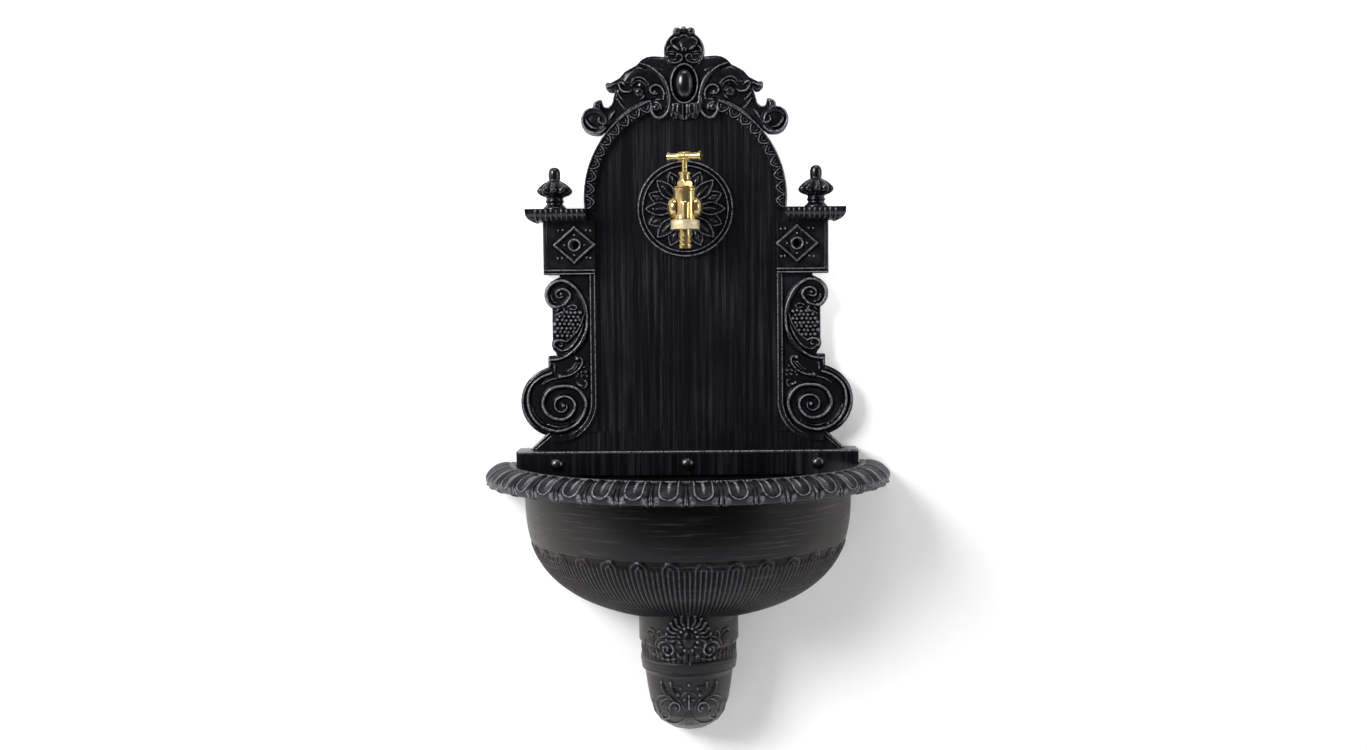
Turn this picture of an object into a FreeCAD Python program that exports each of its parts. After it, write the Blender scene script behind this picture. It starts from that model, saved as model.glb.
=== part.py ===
"""Wall fountain for a garden: a cast back panel with crest, finials and a half-round
basin on a corbel, with a brass tap over it.

Millimetres, +Z up. The wall is the plane Y = 0 and the fountain stands out from it
towards -Y. The origin lies in that plane, midway between the two wall screw holes.
A size that ends in "_out" is a distance in front of the wall.
"""
import FreeCAD, Part
import math
import os
import re
import Sketcher

Vector = FreeCAD.Vector
Rotation = FreeCAD.Rotation
Placement = FreeCAD.Placement
UP = Vector(0, 0, 1)
FRONT = Vector(0, -1, 0)

# Driving sizes, each written once

SIZES = {
    # wall screws
    "screw_spacing": 234.0,
    "screw_hole_radius": 4.3,
    "screw_collar_radius": 6.8,
    "screw_collar_stands": 1.5,
    "screw_boss_radius": 10.0,
    # back panel
    "casting_wall": 5.0,
    "cut_over": 1.0,
    "edge_break": 1.0,
    "fine_break": 0.5,
    "panel_face_out": 16.0,
    "field_half_width": 102.0,
    "arch_centre_height": 50.0,
    "arch_radius": 107.0,
    "arch_band_width": 11.4,
    "arch_band_stands": 5.0,
    "moulding_width": 6.0,
    "moulding_stands": 7.0,
    "pier_inner": 95.5,
    "pier_outer": 150.0,
    "pier_low": -31.3,
    "pier_high": 25.0,
    "pier_face_out": 26.0,
    "shelf_inner": 104.0,
    "shelf_outer": 167.3,
    "shelf_high": 37.4,
    "shelf_face_out": 43.0,
    "shelf_ovolo": 11.0,
    "diamond_half_width": 23.2,
    "diamond_half_height": 20.3,
    "diamond_border": 4.0,
    "diamond_stands": 2.5,
    # consoles beside the field
    "console_face_out": 20.0,
    "volute_across": 133.4,
    "volute_height": -52.3,
    "volute_radius": 16.4,
    "grape_outer": 141.5,
    "grape_high": -67.0,
    "curl_height": -104.1,
    "curl_radius": 9.0,
    "curl_neck": 137.0,
    "bracket_outer": 146.3,
    "bracket_high": -117.0,
    "bracket_low": -131.0,
    "scroll_across": 138.6,
    "scroll_height": -165.5,
    "scroll_radius": 37.0,
    "foot_top_outer": 147.0,
    "foot_bottom_outer": 166.0,
    "foot_high": -197.0,
    "foot_face_out": 18.0,
    "tap_boss_radius": 18.5,
    # strip that carries the basin
    "strip_half_width": 179.5,
    "strip_high": -216.5,
    "strip_drop": 25.5,
    "strip_face_out": 40.0,
    "strip_plate": 5.0,
    # crest, its heights taken from the top of the arch
    "crest_back_out": 7.0,
    "crest_face_out": 22.0,
    "crest_boss_out": 28.0,
    "crest_rise": 46.0,
    "crest_fit": 0.2,
    "crest_screw_across": 8.0,
    "crest_screw_drop": 18.5,
    "crest_screw_radius": 2.5,
    "crest_screw_head_radius": 4.2,
    "crest_screw_head": 3.0,
    "crest_screw_depth": 8.0,
    "apron_half_width": 15.0,
    "apron_drop": 26.5,
    "oval_half_width": 14.3,
    "oval_half_height": 20.6,
    "oval_rise": 10.7,
    "oval_stands": 3.0,
    "dome_rise": 45.0,
    "dome_radius": 21.7,
    "knob_rise": 20.4,
    "knob_radius": 5.0,
    "knob_across": 7.2,
    "top_knob_rise": 23.2,
    "top_knob_radius": 3.3,
    "crest_knob_recess": 4.0,
    # finials
    "finial_across": 137.5,
    "finial_out": 21.5,
    "finial_tall": 44.5,
    "finial_skirt_radius": 19.0,
    "finial_knob_radius": 5.8,
    "finial_neck_radius": 8.5,
    "finial_base_radius": 12.4,
    "finial_ring_stands": 1.2,
    "finial_groove_radius": 1.6,
    "finial_groove_out": 1.0,
    "finial_stud_radius": 3.0,
    "finial_stud_length": 23.0,
    "finial_stud_in_shelf": 9.0,
    # rosette behind the tap
    "rosette_height": 37.3,
    "rosette_radius": 51.0,
    "rosette_plate": 3.5,
    "rosette_rim_width": 5.5,
    "rosette_rim_stands": 3.5,
    "petal_inner": 17.0,
    "petal_outer": 43.0,
    "petal_half_width": 6.2,
    "petal_waist_half_width": 5.0,
    "petal_waist_in": 3.0,
    "petal_shoulder_out": 2.0,
    "petal_stands": 2.2,
    # basin
    "rim_inner_radius": 184.5,
    "rim_width": 31.5,
    "rim_below_strip": 12.5,
    "rim_drop": 21.7,
    "rim_lip": 4.0,
    "bowl_radius": 175.0,
    "bowl_depth": 145.3,
    "bowl_roundness": 0.94,
    "bowl_fullness": 0.67,
    "bowl_wall": 5.0,
    "gadroon_angle": 9.0,
    "gadroon_groove_radius": 2.4,
    "gadroon_fall": 0.6,
    "back_wall": 6.0,
    "ledge_fit": 0.5,
    "bowl_fit": 1.0,
    # bolts through strip and basin
    "bolt_across": 137.0,
    "bolt_below_strip": 13.9,
    "bolt_radius": 4.0,
    "bolt_head_radius": 6.75,
    "bolt_head": 5.5,
    "bolt_tail": 3.0,
    "bolt_hole_play": 0.4,
    "bolt_washer_radius": 8.0,
    "bolt_washer": 1.6,
    "bolt_nut_width": 13.0,
    "bolt_nut": 6.5,
    # corbel under the basin
    "corbel_centre_out": 48.0,
    "corbel_radius": 52.0,
    "corbel_neck_radius": 49.1,
    "corbel_band_radius": 50.2,
    "corbel_collar_drop": 17.0,
    "corbel_neck_drop": 18.0,
    "corbel_band_drop": 12.0,
    "corbel_tail_drop": 75.6,
    "corbel_wall": 5.0,
    "corbel_web_below_bowl": 4.0,
    "corbel_web": 5.0,
    "corbel_fit": 0.3,
    # drain
    "drain_out": 66.0,
    "drain_seat_rise": 6.0,
    "drain_pocket_radius": 26.0,
    "drain_boss_radius": 28.5,
    "drain_flange_radius": 25.0,
    "drain_flange": 2.5,
    "drain_gasket": 1.5,
    "drain_shank_radius": 16.6,
    "drain_tail_radius": 16.0,
    "drain_bore_radius": 12.5,
    "drain_thread_past_nut": 2.5,
    "drain_tail_length": 25.0,
    "drain_hole_play": 0.4,
    "drain_washer": 1.5,
    "drain_washer_radius": 24.0,
    "drain_nut_width": 44.0,
    "drain_nut": 8.0,
    "strainer_hole_radius": 3.0,
    "strainer_hole_circle": 7.6,
    # tap
    "tap_out": 65.0,
    "tap_height": 37.3,
    "tap_body_radius": 11.6,
    "tap_body_high": 55.0,
    "tap_body_low": 23.7,
    "tap_cheek_radius": 11.0,
    "tap_cheek_half_width": 17.1,
    "tap_cheek_height": 35.0,
    "tap_cheek_bevel": 4.0,
    "tap_front_boss_radius": 7.2,
    "tap_front_boss_stands": 3.0,
    "tap_inlet_radius": 9.8,
    "tap_flange_radius": 14.5,
    "tap_flange": 3.0,
    "tap_shank_radius": 10.48,
    "tap_thread_past_nut": 2.0,
    "tap_tail_radius": 10.0,
    "tap_shank_behind": 12.0,
    "tap_inlet_bore_radius": 6.0,
    "tap_hole_play": 0.4,
    "inlet_washer": 1.5,
    "inlet_washer_radius": 14.0,
    "backnut_width": 27.0,
    "backnut": 6.0,
    "chamber_radius": 8.5,
    "seat_height": 31.0,
    "seat_thickness": 3.0,
    "seat_bore_radius": 4.5,
    "outlet_bore_radius": 6.0,
    "outlet_thread_radius": 12.9,
    "thread_play": 0.1,
    # bonnet, gland and spindle
    "bonnet_gasket": 0.8,
    "bonnet_flange_radius": 11.5,
    "bonnet_flange": 1.7,
    "bonnet_hex_width": 15.0,
    "bonnet_hex": 5.0,
    "bonnet_core_radius": 6.5,
    "bonnet_spigot": 11.0,
    "bonnet_neck_radius": 4.4,
    "bonnet_neck": 4.8,
    "bonnet_bore_top": 60.0,
    "gland_radius": 5.4,
    "gland_collar_radius": 6.5,
    "gland_collar": 2.2,
    "gland_high": 72.0,
    "gland_roof": 2.0,
    "gland_gap": 0.2,
    "packing": 2.6,
    "stem_radius": 2.8,
    "stem_play": 0.08,
    "screw_part_radius": 4.4,
    "screw_part_high": 54.0,
    "screw_part_chamfer": 0.6,
    "handle_height": 88.2,
    "handle_half_length": 18.0,
    "handle_bar_radius": 3.9,
    "handle_end_radius": 4.9,
    "handle_end": 2.2,
    "handle_sleeve_radius": 4.5,
    "handle_sleeve_half_length": 6.2,
    "handle_yaw": 20.0,
    "handle_seat": 1.5,
    # valve in the tap
    "valve_radius": 6.8,
    "valve_washer": 3.0,
    "valve_plate": 2.0,
    "valve_pin_radius": 2.0,
    "valve_pin": 8.0,
    "valve_pin_room": 1.0,
    "valve_stub_radius": 1.2,
    "valve_stub_recess": 0.5,
    "valve_gap": 0.1,
    # union nut and hose tail
    "union_radius": 14.9,
    "union_high": 23.2,
    "union_low": 13.4,
    "union_floor": 1.8,
    "union_chamfer": 0.8,
    "tail_washer": 1.4,
    "tail_flange": 1.6,
    "tail_flange_radius": 12.6,
    "tail_radius": 6.2,
    "tail_barb_radius": 7.0,
    "tail_bore_radius": 4.4,
    "tail_low": -6.0,
    "tail_play": 0.1,
}

document = FreeCAD.newDocument("WallFountain")
sheet = document.addObject("Spreadsheet::Sheet", "Sizes")
for row, (alias, value) in enumerate(SIZES.items(), start=1):
    sheet.set("A%d" % row, alias.replace("_", " "))
    sheet.set("B%d" % row, str(value))
    sheet.setAlias("B%d" % row, alias)
document.recompute()

NODES = []
BOLTS = (("left", "-bolt_across"), ("middle", "0"), ("right", "bolt_across"))
FUNCTION_WORDS = ("sqrt", "cos", "sin", "deg", "mm")


def size(alias):
    """A size as it stands in the sheet."""
    return float(sheet.get(alias))


def linked(text):
    """The expression with each size name pointed at its cell of the sheet."""
    def point(match):
        word = match.group(0)
        return word if word in FUNCTION_WORDS else "Sizes." + word
    return re.sub(r"[a-z][a-z_]*", point, str(text))


def bind(item, **properties):
    """Tie properties of an object to expressions; a double underscore stands for a dot."""
    for name, text in properties.items():
        item.setExpression(name.replace("__", "."), linked(text))
    return item


def node(item, label):
    """Mark an object as one sub-part and give it its name."""
    item.Label = label
    NODES.append(item)
    return item


def place(item, across="0", out="0", up="0", rotation=None):
    if rotation is not None:
        item.Placement = Placement(Vector(), rotation)
    bind(item, Placement__Base__x=across, Placement__Base__y="-(%s)" % out, Placement__Base__z=up)
    return item


# Heights that hang together, each a sum of sizes

STRIP_LOW = "strip_high - strip_drop"
BOLT_HEIGHT = "strip_high - bolt_below_strip"
RIM_HIGH = "strip_high - rim_below_strip"
RIM_LOW = RIM_HIGH + " - rim_drop"
BOWL_BOTTOM = RIM_LOW + " - bowl_depth"
DRAIN_SEAT = BOWL_BOTTOM + " + drain_seat_rise"
WEB_HIGH = BOWL_BOTTOM + " - corbel_web_below_bowl"
WEB_LOW = WEB_HIGH + " - corbel_web"
DRAIN_NUT_LOW = WEB_LOW + " - drain_washer - drain_nut"
DRAIN_THREAD_LOW = DRAIN_NUT_LOW + " - drain_thread_past_nut"
DRAIN_LOW = DRAIN_THREAD_LOW + " - drain_tail_length"
COLLAR_LOW = BOWL_BOTTOM + " - corbel_collar_drop"
BAND_HIGH = COLLAR_LOW + " - corbel_neck_drop"
BAND_LOW = BAND_HIGH + " - corbel_band_drop"
RIM_RADIUS = "rim_inner_radius + rim_width"


def total(text):
    """What a sum of size names comes to."""
    result = 0.0
    sign = 1
    for word in text.split():
        if word in ("+", "-"):
            sign = 1 if word == "+" else -1
        else:
            result += sign * size(word)
    return result


# Solids tied to the sheet

TO_FRONT = Rotation(Vector(1, 0, 0), 90)
TO_RIGHT = Rotation(Vector(0, 1, 0), 90)


def block(name, across_low, across_high, out_low, out_high, low, high):
    """A block between two distances across, two out from the wall and two heights."""
    box = document.addObject("Part::Box", name)
    bind(box, Length="(%s) - (%s)" % (across_high, across_low),
         Width="(%s) - (%s)" % (out_high, out_low), Height="(%s) - (%s)" % (high, low))
    return place(box, across_low, out_high, low)


def rod_out(name, across, up, out_low, out_high, radius):
    """A cylinder that stands straight out from the wall."""
    rod = document.addObject("Part::Cylinder", name)
    bind(rod, Radius=radius, Height="(%s) - (%s)" % (out_high, out_low))
    return place(rod, across, out_low, up, TO_FRONT)


def rod_up(name, across, out, low, high, radius):
    """An upright cylinder."""
    rod = document.addObject("Part::Cylinder", name)
    bind(rod, Radius=radius, Height="(%s) - (%s)" % (high, low))
    return place(rod, across, out, low)


def hexagon_up(name, across, out, low, high, flats):
    """An upright hexagon of a width across its flats."""
    prism = document.addObject("Part::Prism", name)
    prism.Polygon = 6
    bind(prism, Circumradius="(%s) / sqrt(3)" % flats, Height="(%s) - (%s)" % (high, low))
    return place(prism, across, out, low)


def fused(name, shapes):
    item = document.addObject("Part::MultiFuse", name)
    item.Shapes = shapes
    item.Refine = True
    return item


def cut(name, base, tools):
    item = document.addObject("Part::Cut", name)
    item.Base = base
    item.Tool = tools[0] if len(tools) == 1 else fused(name + "_tools", tools)
    item.Refine = True
    return item


def mirrored_pair(name, source):
    """The object and its mirror image across the middle plane."""
    mirror = document.addObject("Part::Mirroring", name)
    mirror.Source = source
    mirror.Base = Vector()
    mirror.Normal = Vector(1, 0, 0)
    return [source, mirror]


def origin_plane(body, role):
    for item in body.Origin.OriginFeatures:
        if item.Role == role:
            return item
    raise ValueError("no plane " + role)


# A new sketch starts as a small figure of this middle and reach; the sheet then pulls it into place
START_MIDDLE = 10.0
START_REACH = 8.0


def outline(body, role, points, name):
    """A closed sketch on one of the body's planes, each corner tied to the sheet."""
    sketch = body.newObject("Sketcher::SketchObject", name)
    sketch.AttachmentSupport = (origin_plane(body, role), "")
    sketch.MapMode = "FlatFace"
    count = len(points)
    start = []
    for index in range(count):
        turn = 2.0 * math.pi * index / count
        start.append(Vector(START_MIDDLE + START_REACH * math.cos(turn),
                            START_MIDDLE + START_REACH * math.sin(turn), 0))
    for index in range(count):
        sketch.addGeometry(Part.LineSegment(start[index], start[(index + 1) % count]), False)
    for index in range(count):
        sketch.addConstraint(Sketcher.Constraint("Coincident", index, 2, (index + 1) % count, 1))
    for index, (along, up) in enumerate(points):
        corner = start[index]
        for kind, text, now in (("DistanceX", along, corner.x), ("DistanceY", up, corner.y)):
            number = sketch.addConstraint(Sketcher.Constraint(kind, -1, 1, index, 1, now))
            sketch.setExpression("Constraints[%d]" % number, linked(text))
    return sketch


def turned(name, points, across="0", out="0", up="0", rotation=None):
    """A body turned about its own Z axis from an outline of radius and height pairs."""
    body = document.addObject("PartDesign::Body", name)
    sketch = outline(body, "XZ_Plane", points, name + "_outline")
    turn = body.newObject("PartDesign::Revolution", name + "_turn")
    turn.Profile = sketch
    turn.ReferenceAxis = (sketch, ["V_Axis"])
    turn.Angle = 360
    return place(body, across, out, up, rotation)


def ring_up(name, across, out, low, high, bore, radius):
    """A flat ring, as a washer or gasket is."""
    points = [(bore, low), (radius, low), (radius, high), (bore, high)]
    return turned(name, points, across, out)


def hexagon_cut(body, name, low, flats, high, bore):
    """Pads a hexagon with a bore on a turned body."""
    sketch = body.newObject("Sketcher::SketchObject", name + "_outline")
    sketch.AttachmentSupport = (origin_plane(body, "XY_Plane"), "")
    sketch.MapMode = "FlatFace"
    sketch.setExpression(".AttachmentOffset.Base.z", linked(low))
    corners = []
    for index in range(6):
        turn = math.radians(60 * index)
        corners.append(Vector(START_REACH * math.cos(turn), START_REACH * math.sin(turn), 0))
    for index in range(6):
        sketch.addGeometry(Part.LineSegment(corners[index], corners[(index + 1) % 6]), False)
    for index in range(6):
        sketch.addConstraint(Sketcher.Constraint("Coincident", index, 2, (index + 1) % 6, 1))
    for index in range(6):
        turn = 60 * index
        corner = corners[index]
        for kind, part, now in (("DistanceX", "cos", corner.x), ("DistanceY", "sin", corner.y)):
            number = sketch.addConstraint(Sketcher.Constraint(kind, -1, 1, index, 1, now))
            reach = "(%s) / sqrt(3) * %s(%d deg)" % (flats, part, turn)
            sketch.setExpression("Constraints[%d]" % number, linked(reach))
    circle = sketch.addGeometry(Part.Circle(Vector(), Vector(0, 0, 1), 1.0), False)
    sketch.addConstraint(Sketcher.Constraint("Coincident", circle, 3, -1, 1))
    number = sketch.addConstraint(Sketcher.Constraint("Radius", circle, 1.0))
    sketch.setExpression("Constraints[%d]" % number, linked(bore))
    pad = body.newObject("PartDesign::Pad", name)
    pad.Profile = sketch
    bind(pad, Length="(%s) - (%s)" % (high, low))
    return pad


def free_solid(label, shape, across="0", out="0", up="0"):
    """A solid of curved forms that sketches and primitives don't give."""
    item = document.addObject("Part::Feature", label)
    item.Shape = shape
    return node(place(item, across, out, up), label)


def one_solid(shape):
    """The single solid of a result, cleaned of its seams."""
    shape = shape.removeSplitter()
    if len(shape.Solids) != 1:
        raise ValueError("expected one solid, got %d" % len(shape.Solids))
    return shape.Solids[0]


# Bowl of the basin, whose form the panel, the corbel and the drain also follow

BOWL_STEPS = 9


def bowl_curve(grow):
    """Points from the rim down to the middle of the bottom, grown or shrunk by a wall."""
    radius = size("bowl_radius") + grow
    top = total(RIM_LOW) - size("bowl_wall")
    deep = top - total(BOWL_BOTTOM) + grow
    points = []
    for step in range(BOWL_STEPS):
        turn = 0.5 * math.pi * step / (BOWL_STEPS - 1)
        across = radius * max(math.cos(turn), 0.0) ** size("bowl_roundness")
        drop = deep * math.sin(turn) ** size("bowl_fullness")
        points.append(Vector(across, 0, top - drop))
    points[-1] = Vector(0, 0, top - deep)
    return points


def spline_edge(points):
    curve = Part.BSplineCurve()
    curve.interpolate(points)
    return curve.toShape()


def line_edge(start, end):
    return Part.makeLine(start, end)


def arc_edge(start, middle, end):
    return Part.Arc(start, middle, end).toShape()


def half_turn(edges):
    """The half solid in front of the wall that a closed outline sweeps."""
    face = Part.Face(Part.Wire(edges))
    return face.revolve(Vector(), Vector(0, 0, -1), 180)


def bowl_solid(grow, top):
    """The space inside the bowl's outer skin, up to a height."""
    curve = bowl_curve(grow)
    start = Vector(curve[0].x, 0, top)
    axis_top = Vector(0, 0, top)
    edges = [spline_edge(curve), line_edge(curve[-1], axis_top), line_edge(axis_top, start),
             line_edge(start, curve[0])]
    return half_turn(edges)


# The rim's ovolo, as shares of its width and of its drop
RIM_CROWN = (0.66, 0.16)
RIM_NOSE = (1.0, 0.68)
RIM_BULGE = (0.97, 0.88)
RIM_TUCK = (0.84, 1.0)


def basin_outline():
    """Section through rim and bowl, from the lip out over the rim and down."""
    rim_radius = total(RIM_RADIUS)
    rim_high = total(RIM_HIGH)
    rim_low = total(RIM_LOW)
    lip_inner = size("rim_inner_radius")
    lip_outer = lip_inner + size("rim_lip")
    width = rim_radius - lip_outer
    drop = rim_high - rim_low
    wall = size("bowl_wall")
    outer = bowl_curve(0.0)
    inner = bowl_curve(-wall)

    def rim_point(across, down):
        return Vector(lip_outer + across * width, 0, rim_high - down * drop)

    lip_in = Vector(lip_inner, 0, rim_high)
    lip_out = rim_point(0, 0)
    crown = rim_point(*RIM_CROWN)
    nose = rim_point(*RIM_NOSE)
    bulge = rim_point(*RIM_BULGE)
    nose_low = rim_point(*RIM_TUCK)
    under = Vector(outer[0].x + wall, 0, rim_low)
    lip_low = Vector(lip_inner, 0, rim_high - size("rim_lip"))
    edges = [
        line_edge(lip_in, lip_out),
        arc_edge(lip_out, crown, nose),
        arc_edge(nose, bulge, nose_low),
        line_edge(nose_low, under),
        line_edge(under, outer[0]),
        spline_edge(outer),
        line_edge(outer[-1], inner[-1]),
        spline_edge(inner[::-1]),
        line_edge(inner[0], lip_low),
        line_edge(lip_low, lip_in),
    ]
    return edges


# Back panel

FIELD_FRONT = "panel_face_out + moulding_stands"
DIAMOND_FRONT = "pier_face_out + diamond_stands"
SCREW_ACROSS = "screw_spacing / 2"
CREST_SCREW_HEIGHT = "arch_centre_height + arch_radius - crest_screw_drop"
RING_RADIUS = "scroll_across - field_half_width + moulding_width"


def panel_form(tag, inset, back, skin):
    """The panel's solid form, or with an inset and a skin left in front, the hollow at its back."""
    panel_front = "panel_face_out - %s" % skin
    pier_front = "pier_face_out - %s" % skin
    console_front = "console_face_out - %s" % skin
    middle = [
        rod_out(tag + "_arch", "0", "arch_centre_height", back, panel_front, "arch_radius - %s" % inset),
        block(tag + "_field", "-(field_half_width - %s)" % inset, "field_half_width - %s" % inset,
              back, panel_front, "strip_high", "arch_centre_height"),
    ]
    half = [
        block(tag + "_pier", "pier_inner", "pier_outer - %s" % inset, back, pier_front,
              "pier_low + %s" % inset, "pier_high"),
        rod_out(tag + "_volute", "volute_across", "volute_height", back, console_front,
                "volute_radius - %s" % inset),
        block(tag + "_web", "pier_inner", "volute_across - %s" % inset, back, console_front,
              "foot_high - cut_over", "pier_low - %s" % inset),
        rod_out(tag + "_scroll", "scroll_across", "scroll_height", back, console_front,
                "scroll_radius - %s" % inset),
    ]
    sides = []
    for item in half:
        sides += mirrored_pair(item.Name + "_left", item)
    return middle + sides


def extruded(name, points, out_low, out_high):
    """A flat outline of across and height pairs, carried from one distance out to another."""
    body = document.addObject("PartDesign::Body", name)
    sketch = outline(body, "XZ_Plane", points, name + "_outline")
    pad = body.newObject("PartDesign::Pad", name + "_pad")
    pad.Profile = sketch
    bind(pad, Length="(%s) - (%s)" % (out_high, out_low))
    return place(body, "0", out_low, "0")


def rhombus(name, shrink, out_low, out_high):
    points = [
        ("%s - (diamond_half_width - %s)" % (SCREW_ACROSS, shrink), "0"),
        (SCREW_ACROSS, "-(diamond_half_height - %s)" % shrink),
        ("%s + (diamond_half_width - %s)" % (SCREW_ACROSS, shrink), "0"),
        (SCREW_ACROSS, "diamond_half_height - %s" % shrink),
    ]
    return extruded(name, points, out_low, out_high)


def ovolo_shelf():
    """The shelf on a pier, its lower edges rounded back to the pier."""
    slab = block("shelf_slab", "shelf_inner", "shelf_outer", "0", "shelf_face_out", "pier_high", "shelf_high")
    document.recompute()
    fillet = document.addObject("Part::Fillet", "shelf_rounded")
    fillet.Base = slab
    near = 0.01
    chosen = []
    for number, edge in enumerate(slab.Shape.Edges, start=1):
        middle = edge.CenterOfMass
        low = abs(middle.z - size("pier_high")) < near
        front = abs(middle.y + size("shelf_face_out")) < near
        end = abs(middle.x - size("shelf_outer")) < near
        if low and (front or end):
            chosen.append((number, size("shelf_ovolo"), size("shelf_ovolo")))
    fillet.Edges = chosen
    return fillet


def console_side():
    """The console's outer edge under the pier: neck, bunch of grapes, leaf curl and bracket."""
    return extruded("console_side", [
        ("pier_inner", "pier_low"), ("volute_across", "pier_low"), ("volute_across", "volute_height"),
        ("grape_outer", "grape_high"), ("grape_outer", "curl_height"), ("volute_across", "curl_height"),
        ("curl_neck", "bracket_high"), ("bracket_outer", "bracket_high"), ("bracket_outer", "bracket_low"),
        ("scroll_across", "bracket_low"), ("scroll_across", "scroll_height"), ("pier_inner", "scroll_height"),
    ], "0", "console_face_out")


def scroll_frame():
    """The field's moulding where it curves round the scroll: a quarter of a ring."""
    far = "scroll_across + scroll_radius + %s" % RING_RADIUS
    behind = "-cut_over"
    front = FIELD_FRONT + " + cut_over"
    ring = rod_out("scroll_frame", "scroll_across", "scroll_height", "0", FIELD_FRONT, RING_RADIUS)
    bore = rod_out("scroll_frame_bore", "scroll_across", "scroll_height", behind, front,
                   RING_RADIUS + " - moulding_width")
    above = block("scroll_frame_top", "0", far, behind, front, "scroll_height", "0")
    beyond = block("scroll_frame_side", "scroll_across + moulding_width", far, behind, front,
                   "2 * strip_high", "scroll_height + cut_over")
    return cut("scroll_frame_quarter", ring, [bore, above, beyond])


def pier_ornament():
    """Diamond border and screw collar on the pier's face, and the screw's boss behind it."""
    diamond = cut("diamond", rhombus("diamond_outer", "0", "pier_face_out - cut_over", DIAMOND_FRONT),
                  [rhombus("diamond_inner", "diamond_border", "pier_face_out - 2 * cut_over",
                           DIAMOND_FRONT + " + cut_over")])
    boss = rod_out("screw_boss", SCREW_ACROSS, "0", "0", "pier_face_out - cut_over", "screw_boss_radius")
    collar = rod_out("screw_collar", SCREW_ACROSS, "0", "pier_face_out - cut_over",
                     "pier_face_out + screw_collar_stands", "screw_collar_radius")
    return [diamond, boss, collar]


def arch_band():
    """The leaf band's ground that stands along the arch, down to the shelves."""
    front = "panel_face_out + arch_band_stands"
    behind = "panel_face_out - 2 * cut_over"
    ring = rod_out("band_outer", "0", "arch_centre_height", "panel_face_out - cut_over", front, "arch_radius")
    bore = rod_out("band_inner", "0", "arch_centre_height", behind, front + " + cut_over",
                   "arch_radius - arch_band_width")
    below = block("band_below", "-2 * arch_radius", "2 * arch_radius", behind, front + " + cut_over",
                  "-2 * arch_radius", "shelf_high")
    return cut("arch_band", ring, [bore, below])


def panel_holes():
    """Holes for the wall screws, crest screws, finial studs, tap and basin bolts."""
    through = "shelf_face_out + cut_over"
    half = [
        rod_out("screw_hole", SCREW_ACROSS, "0", "-cut_over", through, "screw_hole_radius"),
        rod_out("crest_hole", "crest_screw_across", CREST_SCREW_HEIGHT, "-cut_over", through,
                "crest_screw_radius + thread_play"),
        rod_up("stud_hole", "finial_across", "finial_out", "shelf_high - finial_stud_in_shelf",
               "shelf_high + cut_over", "finial_stud_radius + thread_play"),
    ]
    holes = [rod_out("tap_hole", "0", "tap_height", "-cut_over", through, "tap_shank_radius + tap_hole_play")]
    for item in half:
        holes += mirrored_pair(item.Name + "_left", item)
    for side, across in BOLTS:
        holes.append(rod_out("strip_hole_" + side, across, BOLT_HEIGHT,
                             "strip_face_out - strip_plate - cut_over", "strip_face_out + cut_over",
                             "bolt_radius + bolt_hole_play"))
    return holes


def outside_the_bowl():
    """What lies beyond the free space inside rim and bowl, to trim the panel's lower end to it."""
    reach = 2 * total(RIM_RADIUS)
    top = total(RIM_HIGH) + size("cut_over")
    round_about = Part.makeBox(2 * reach, reach, reach)
    round_about.translate(Vector(-reach, -reach, top - reach))
    item = document.addObject("Part::Feature", "outside_the_bowl")
    item.Shape = round_about.cut(half_turn(basin_space_edges()))
    return item


def back_panel():
    """Hollow-backed casting: arched field, piers, shelves, consoles, foot, ledge and strip."""
    solid = panel_form("panel", "0", "0", "0")
    hollow = panel_form("hollow", "casting_wall", "-cut_over", "casting_wall")
    skin = cut("panel_skin", fused("panel_solid", solid), [fused("panel_hollow", hollow)])
    foot = extruded("foot", [("-foot_bottom_outer", "strip_high"), ("foot_bottom_outer", "strip_high"),
                             ("foot_top_outer", "foot_high"), ("-foot_top_outer", "foot_high")],
                    "0", "foot_face_out")
    ledge = block("ledge", "-strip_half_width", "strip_half_width", "0", "strip_face_out",
                  "strip_high - strip_plate", "strip_high")
    strip = block("strip", "-strip_half_width", "strip_half_width", "strip_face_out - strip_plate",
                  "strip_face_out", STRIP_LOW, "strip_high")
    tap_boss = rod_out("tap_boss", "0", "rosette_height", "panel_face_out - casting_wall",
                       "panel_face_out", "tap_boss_radius")
    curl = rod_out("curl", "volute_across", "curl_height", "0", "console_face_out", "curl_radius")
    stile = block("stile", "field_half_width - moulding_width", "field_half_width", "0", FIELD_FRONT,
                  "scroll_height", "pier_low")
    raised = []
    for item in [ovolo_shelf(), console_side(), curl, stile, scroll_frame()] + pier_ornament():
        raised += mirrored_pair(item.Name + "_left", item)
    whole = fused("panel_whole", [skin, foot, ledge, strip, arch_band(), tap_boss] + raised)
    panel = cut("panel_drilled", whole, panel_holes() + [outside_the_bowl()])
    return node(panel, "back_panel")


def basin_space_edges():
    """Outline of the free space inside rim and bowl, held back by the fit."""
    play = size("bowl_fit")
    inner = bowl_curve(-size("bowl_wall") - play)
    lip = size("rim_inner_radius") - play
    lip_low = Vector(lip, 0, total(RIM_HIGH) - size("rim_lip"))
    lip_top = Vector(lip, 0, size("strip_high") + size("rim_lip"))
    axis_top = Vector(0, 0, lip_top.z)
    return [spline_edge(inner), line_edge(inner[-1], axis_top), line_edge(axis_top, lip_top),
            line_edge(lip_top, lip_low), line_edge(lip_low, inner[0])]


# Crest over the arch: degrees from the top and rise above the arch, as a share of the tallest rise

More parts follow.
